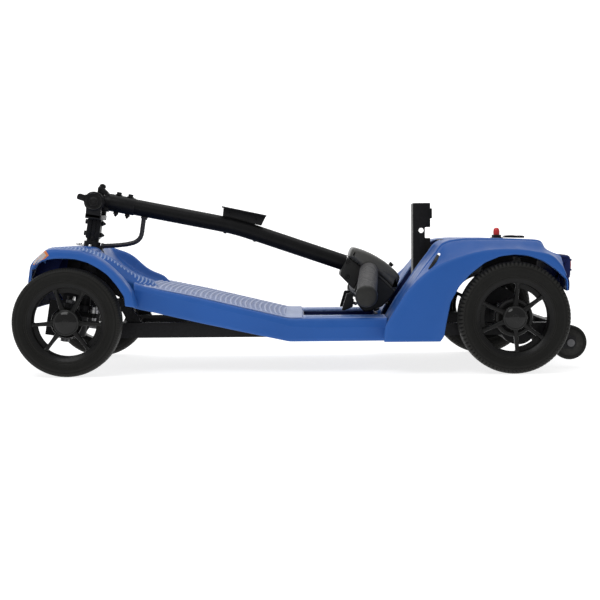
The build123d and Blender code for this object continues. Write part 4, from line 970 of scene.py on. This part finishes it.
# raised seam between the dome and the dash
seam = line([(113.5, 184.2), (131, 178.4), (146, 166.6), (160, 153.4), (171.5, 142)], 40, 4)
for s in (-1, 1):
    parts.append((sweep([(x, s * 55.2, z) for x, z in seam], 1.25, 10), 1))
obj("head_dash_panel", parts, "tiller", "head_dark", DARK, GREY, stand_for=["head_dash"], angle=50)

# hand grips with an oval inset panel and an end cap
for s in (-1, 1):
    a, b = Vector((121.6, s * 60, 180.3)), Vector((110.0, s * 196, 138.2))
    ax = (b - a).normalized()
    ln = (b - a).length
    up = (Vector((0.25, 0, 1)) - ax * ax.dot(Vector((0.25, 0, 1)))).normalized()
    rt = ax.cross(up)
    rows = []
    nst = 130
    for i in range(nst + 1):
        t = ln * i / nst
        r0 = 17.9
        if t < 6:
            r0 = 14.5 + 3.4 * (1 - (1 - t / 6) ** 2) ** 0.5
        r0 += 0.55 * math.sin(min(max((t - 20) / (ln - 30), 0), 1) * math.pi)
        row = []
        for k in range(72):
            ph = 2 * math.pi * k / 72
            e = ((t - ln * 0.47) / 37.0) ** 2 + (((ph + math.pi) % (2 * math.pi) - math.pi) * 18 / 14.5) ** 2
            e = math.sqrt(e)
            g = max(0.0, 1 - abs(e - 1) / 0.10)
            r1 = r0 - 0.9 * g * g * (3 - 2 * g) - (0.35 if e < 0.95 else 0)
            row.append(a + ax * t + (up * math.cos(ph) + rt * math.sin(ph)) * r1)
        rows.append(row)
    parts = [(grid(rows, close_v=True, cap=True), 0)]
    cap = [(ln - 7.5, 16), (ln - 7.5, 18.6), (ln - 6.8, 20.0), (ln - 5.0, 20.4), (ln + 2.0, 20.4), (ln + 4.6, 19.6), (ln + 6.6, 17.6), (ln + 8.2, 13.5), (ln + 9.0, 8), (ln + 9.2, 0)]
    parts.append((lathe(cap, a, ax, 72), 1))
    parts.append((lathe([(ln - 10.2, 17.4), (ln - 9.8, 18.9), (ln - 8.6, 18.9), (ln - 8.2, 17.4)], a, ax, 60, closed=True), 1))
    obj("hand_grip_" + ("left" if s < 0 else "right"), parts, "tiller", "grip_rubber", GRIP, mats_cap := DARK, angle=50, stand_for=["hand_grips"] if s < 0 else ())

# wig-wag throttle paddles
pad = [(67, 101.8), (74, 101.8), (91, 113), (91.5, 138), (79, 138.5)]
parts = []
for s in (-1, 1):
    parts.append(prism([(69.6, 106.4), (74.6, 106.0), (80.0, 108.4), (90.8, 113.2), (91.2, 137.2), (89.5, 138.4), (80.2, 138.3), (78.6, 137.0)], s * 60.5, s * 69.8, 1.3, 3))
    parts.append(prism([(76.5, 108.5), (80.5, 107.8), (90, 112.6), (88.2, 116.2)], s * 60.7, s * 69.6, 1.0, 2))
parts.append(prism([(83.4, 113.4), (89.6, 113.4), (89.6, 124.6), (83.4, 124.6)], -61.5, 61.5, 1.6, 3))
TP, TA = Vector((88, 0, 119)), Vector((0.946, 0, -0.324))
parts.append(cyl(TP - TA * 6, TA, 7, 12, 0.8))
obj("throttle_paddle_pair", parts, "throttle", "black_plastic", BLACKP, stand_for=["throttle_paddles"])

DN, KN = Vector((0.382, 0, -0.924)).normalized(), Vector((0.70, 0, -0.714)).normalized()
DIAL, HORN, KEY = Vector((137, 24, 108.05)), Vector((137, -24, 108.05)), Vector((156, -14, 121.1))
knurl = lambda k, a: (0.45 * trap(a * 30 / (2 * math.pi), 0.4, 0.2) if 1 < k < 6 else 0)
obj("speed_dial_knob", [lathe([(0.4, 0), (0.4, 6.0), (0.8, 6.5), (2.0, 6.5), (3.2, 6.4), (3.8, 6.0), (4.1, 5.0), (4.1, 2), (4.1, 0)], DIAL, DN, 120, disp=knurl)], "dial", "head_dark", DARK, stand_for=["speed_dial"])
obj("horn_push", [lathe([(-2, 0), (-2, 5.8), (3.6, 5.8), (4.8, 5.2), (5.4, 3.6), (5.4, 0)], HORN, DN, 40)], "horn", "black_plastic", BLACKP, stand_for=["horn_button"])
# ignition key with a loop through its bow
kb = KEY + KN * 5.3
parts = [(cyl(KEY - KN * 5, KN, 2.3, 11, 0.3, 24), 0), (ring(KEY + KN * 0.4, KN, 1.8, 5.0, 3, 0.5), 0)]
bow = []
for t in np.linspace(0, 2 * math.pi, 36, endpoint=False):
    bow.append((4.9 * math.cos(t), 4.9 * math.sin(t)))
parts.append((prism(bow, -1.2, 1.2, 0.5, 2, (kb, KN, Vector((KN.z, 0, -KN.x)), Y)), 1))
parts.append((lathe([(-1.4, 2.4), (1.4, 2.4), (1.7, 2.9), (1.4, 3.4), (-1.4, 3.4), (-1.7, 2.9)], kb, Y, 40, closed=True), 1))
obj("ignition_key", parts, "key_switch", "black_plastic", STEEL, BLACKP, stand_for=["key"])

# ------------------------------------------------------------------ wiring harness

CP = [(-309.2, 290.5), (-309.9, 284), (-311.2, 275), (-312.8, 264), (-314.2, 254.0), (-316.6, 247), (-321.5, 241), (-329.5, 236.6), (-343, 233.6), (-360.0, 231.8), (-375, 231.0), (-390.6, 230.6)]
cp = line(CP, 120, 8)
hn = sweep([(a, 0, b) for a, b in cp], 4.5, 26, True, lambda i, a: 0.12 * math.sin(i * 1.05))
har = obj("wiring_harness_loop", [hn], None, "", CABLE)
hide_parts("wiring_harness")
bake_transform(har)
obj("harness_grommet", [ring((-308.9, 0, 286.6), (-0.06, 0, -1), 4.4, 7.0, 3.4, 0.8), ring((-309.1, 0, 283.6), (-0.06, 0, -1), 4.4, 5.6, 3.4, 0.6)], "tiller", "grip_rubber", CABLE)
obj("harness_gland", [ring((-393.0, 0, 230.6), (1, 0, 0.03), 4.2, 5.6, 5.0, 0.8)], "steering", "grip_rubber", CABLE)

# ------------------------------------------------------------------ seat post

x0, x1 = 208.6, 241.9
post = [(x0, 63), (x0, 307.2), (x0 + 1.4, 308.8), (x1 - 1.2, 308.8), (x1, 307.6), (x1, 298.2), (245.3, 298.2), (245.3, 279.3), (x1, 279.3), (x1, 262.4), (232.8, 262.4), (231.5, 261.2), (231.5, 242.6), (232.8, 241.4), (x1, 241.4), (x1, 63)]
pb = obj("seat_post_channel", [prism(post, -23.8, 23.8, 1.3, 3)], "chassis", "frame_black", FRAMEB, stand_for=["seat_post"])
cut(pb, box(212.2, 238.4, -20.2, 20.2, 72, 320, 0))
cut(pb, cyl((224.3, -40, 256.2), (0, 1, 0), 4.9, 50, 0, 40))
cut(pb, cyl((228.0, 6, 256.2), (0, 1, 0), 9.4, 50, 0, 40))
gus = [(241.5, 66), (252, 66), (252, 219), (247, 228), (241.5, 228)]
parts = [prism(gus, s * 21, s * 23.8, 0.8) for s in (-1, 1)]
obj("seat_post_gussets", parts, "chassis", "frame_black", FRAMEB)

# ------------------------------------------------------------------ freewheel lever and carry handle

lv = [(-2.8, 0), (-2.8, 2.4), (-2.2, 3.4), (-1.5, 5.6), (-1.1, 5.7), (0.0, 5.7), (0.4, 6.1), (5.6, 6.0), (8.6, 5.4), (10.7, 4.2), (11.8, 2.6), (12.2, 0)]
parts = [(lathe(lv, (363.5, -60, 248.3), (0, 0, 1), 48), 0), (ring((363.5, -60, 246.2), (0, 0, 1), 1.5, 3.0, 1.6, 0.3), 1)]
obj("freewheel_lever_red", parts, "freewheel", "red_plastic", RED, BLACKP, stand_for=["freewheel_lever"])
hd = [(376.8, 241.4), (377.0, 243.8), (378.6, 245.3), (384, 245.9), (392, 246.1), (400, 245.2), (407, 245.4), (412.5, 245.0), (414.8, 243.6), (414.4, 240.6), (396, 240.9)]
obj("carry_handle_flap", [pillow(hd, *both([0, 10, 13.6, 14.7], [0, 0, 0.25, 0.8]), 70, 0)], "handle", "black_plastic", BLACKP, stand_for=["carry_handle"])
bpy.data.objects["carry_handle_flap"].data.transform(Matrix.Translation((0, -0.060, 0)))

# ------------------------------------------------------------------ carried-over CAD parts

for n, o in NODES.items():
    if o.hide_render:
        continue
    m = BY_NODE.get(n, FRAMEB)
    o.data.materials.clear()
    o.data.materials.append(m)

# ------------------------------------------------------------------ stage, light, camera

fl = bmesh.new()
rowsf = []
for y, z in [(-6, 0)] + [(4.0 + 2.2 * math.sin(t), 2.2 - 2.2 * math.cos(t)) for t in np.linspace(0, math.pi / 2, 14)] + [(6.2, 7)]:
    rowsf.append([(x * 1000, y * 1000, z * 1000 - 0.2) for x in (-7, 0, 7)])
floor = obj("studio_floor", grid(rowsf), None, "", m0 := mat("floor_white", (0.45, 0.45, 0.45), 0.9, var=0.01, vscale=3, bump=0.02, bscale=60, spec=0.05, emit=0.80), flip=None)

world = bpy.data.worlds.new("studio")
SCN.world = world
world.use_nodes = True
world.node_tree.nodes["Background"].inputs[0].default_value = (1.0, 1.0, 1.0, 1)
world.node_tree.nodes["Background"].inputs[1].default_value = 0.50


def area(name, loc, look, size, power):
    li = bpy.data.lights.new(name, "AREA")
    li.shape, li.size, li.size_y, li.energy = "RECTANGLE", size[0], size[1], power
    ob = bpy.data.objects.new(name, li)
    SCN.collection.objects.link(ob)
    ob.location = loc
    ob.rotation_mode = "QUATERNION"
    ob.rotation_quaternion = (Vector(look) - Vector(loc)).to_track_quat("-Z", "Y")
    return ob


area("key", (-1.2, -2.0, 2.6), (0, 0, 0.15), (2.0, 1.2), 33)
area("top", (0.2, 0.4, 3.0), (0, 0, 0.1), (2.6, 2.0), 30)
area("back", (0.0, 3.2, 2.4), (0, 6.0, 1.6), (4.0, 1.5), 60)

cam_d = bpy.data.cameras.new("cam")
cam_d.lens, cam_d.sensor_width, cam_d.clip_start, cam_d.clip_end = 36 * 1403 / 600.0, 36.0, 0.05, 60
cam = bpy.data.objects.new("cam", cam_d)
SCN.collection.objects.link(cam)
yaw, pitch, roll = rad(-0.144), rad(2.772), rad(-0.43)
cam.matrix_world = Matrix.Translation((-0.016, -2.719, 0.2547)) @ Matrix.Rotation(yaw, 4, "Z") @ Matrix.Rotation(rad(90) - pitch, 4, "X") @ Matrix.Rotation(roll, 4, "Z")
SCN.camera = cam
SCN.view_settings.view_transform = "Standard"
SCN.view_settings.look = "None"
SCN.view_settings.exposure = 0.0
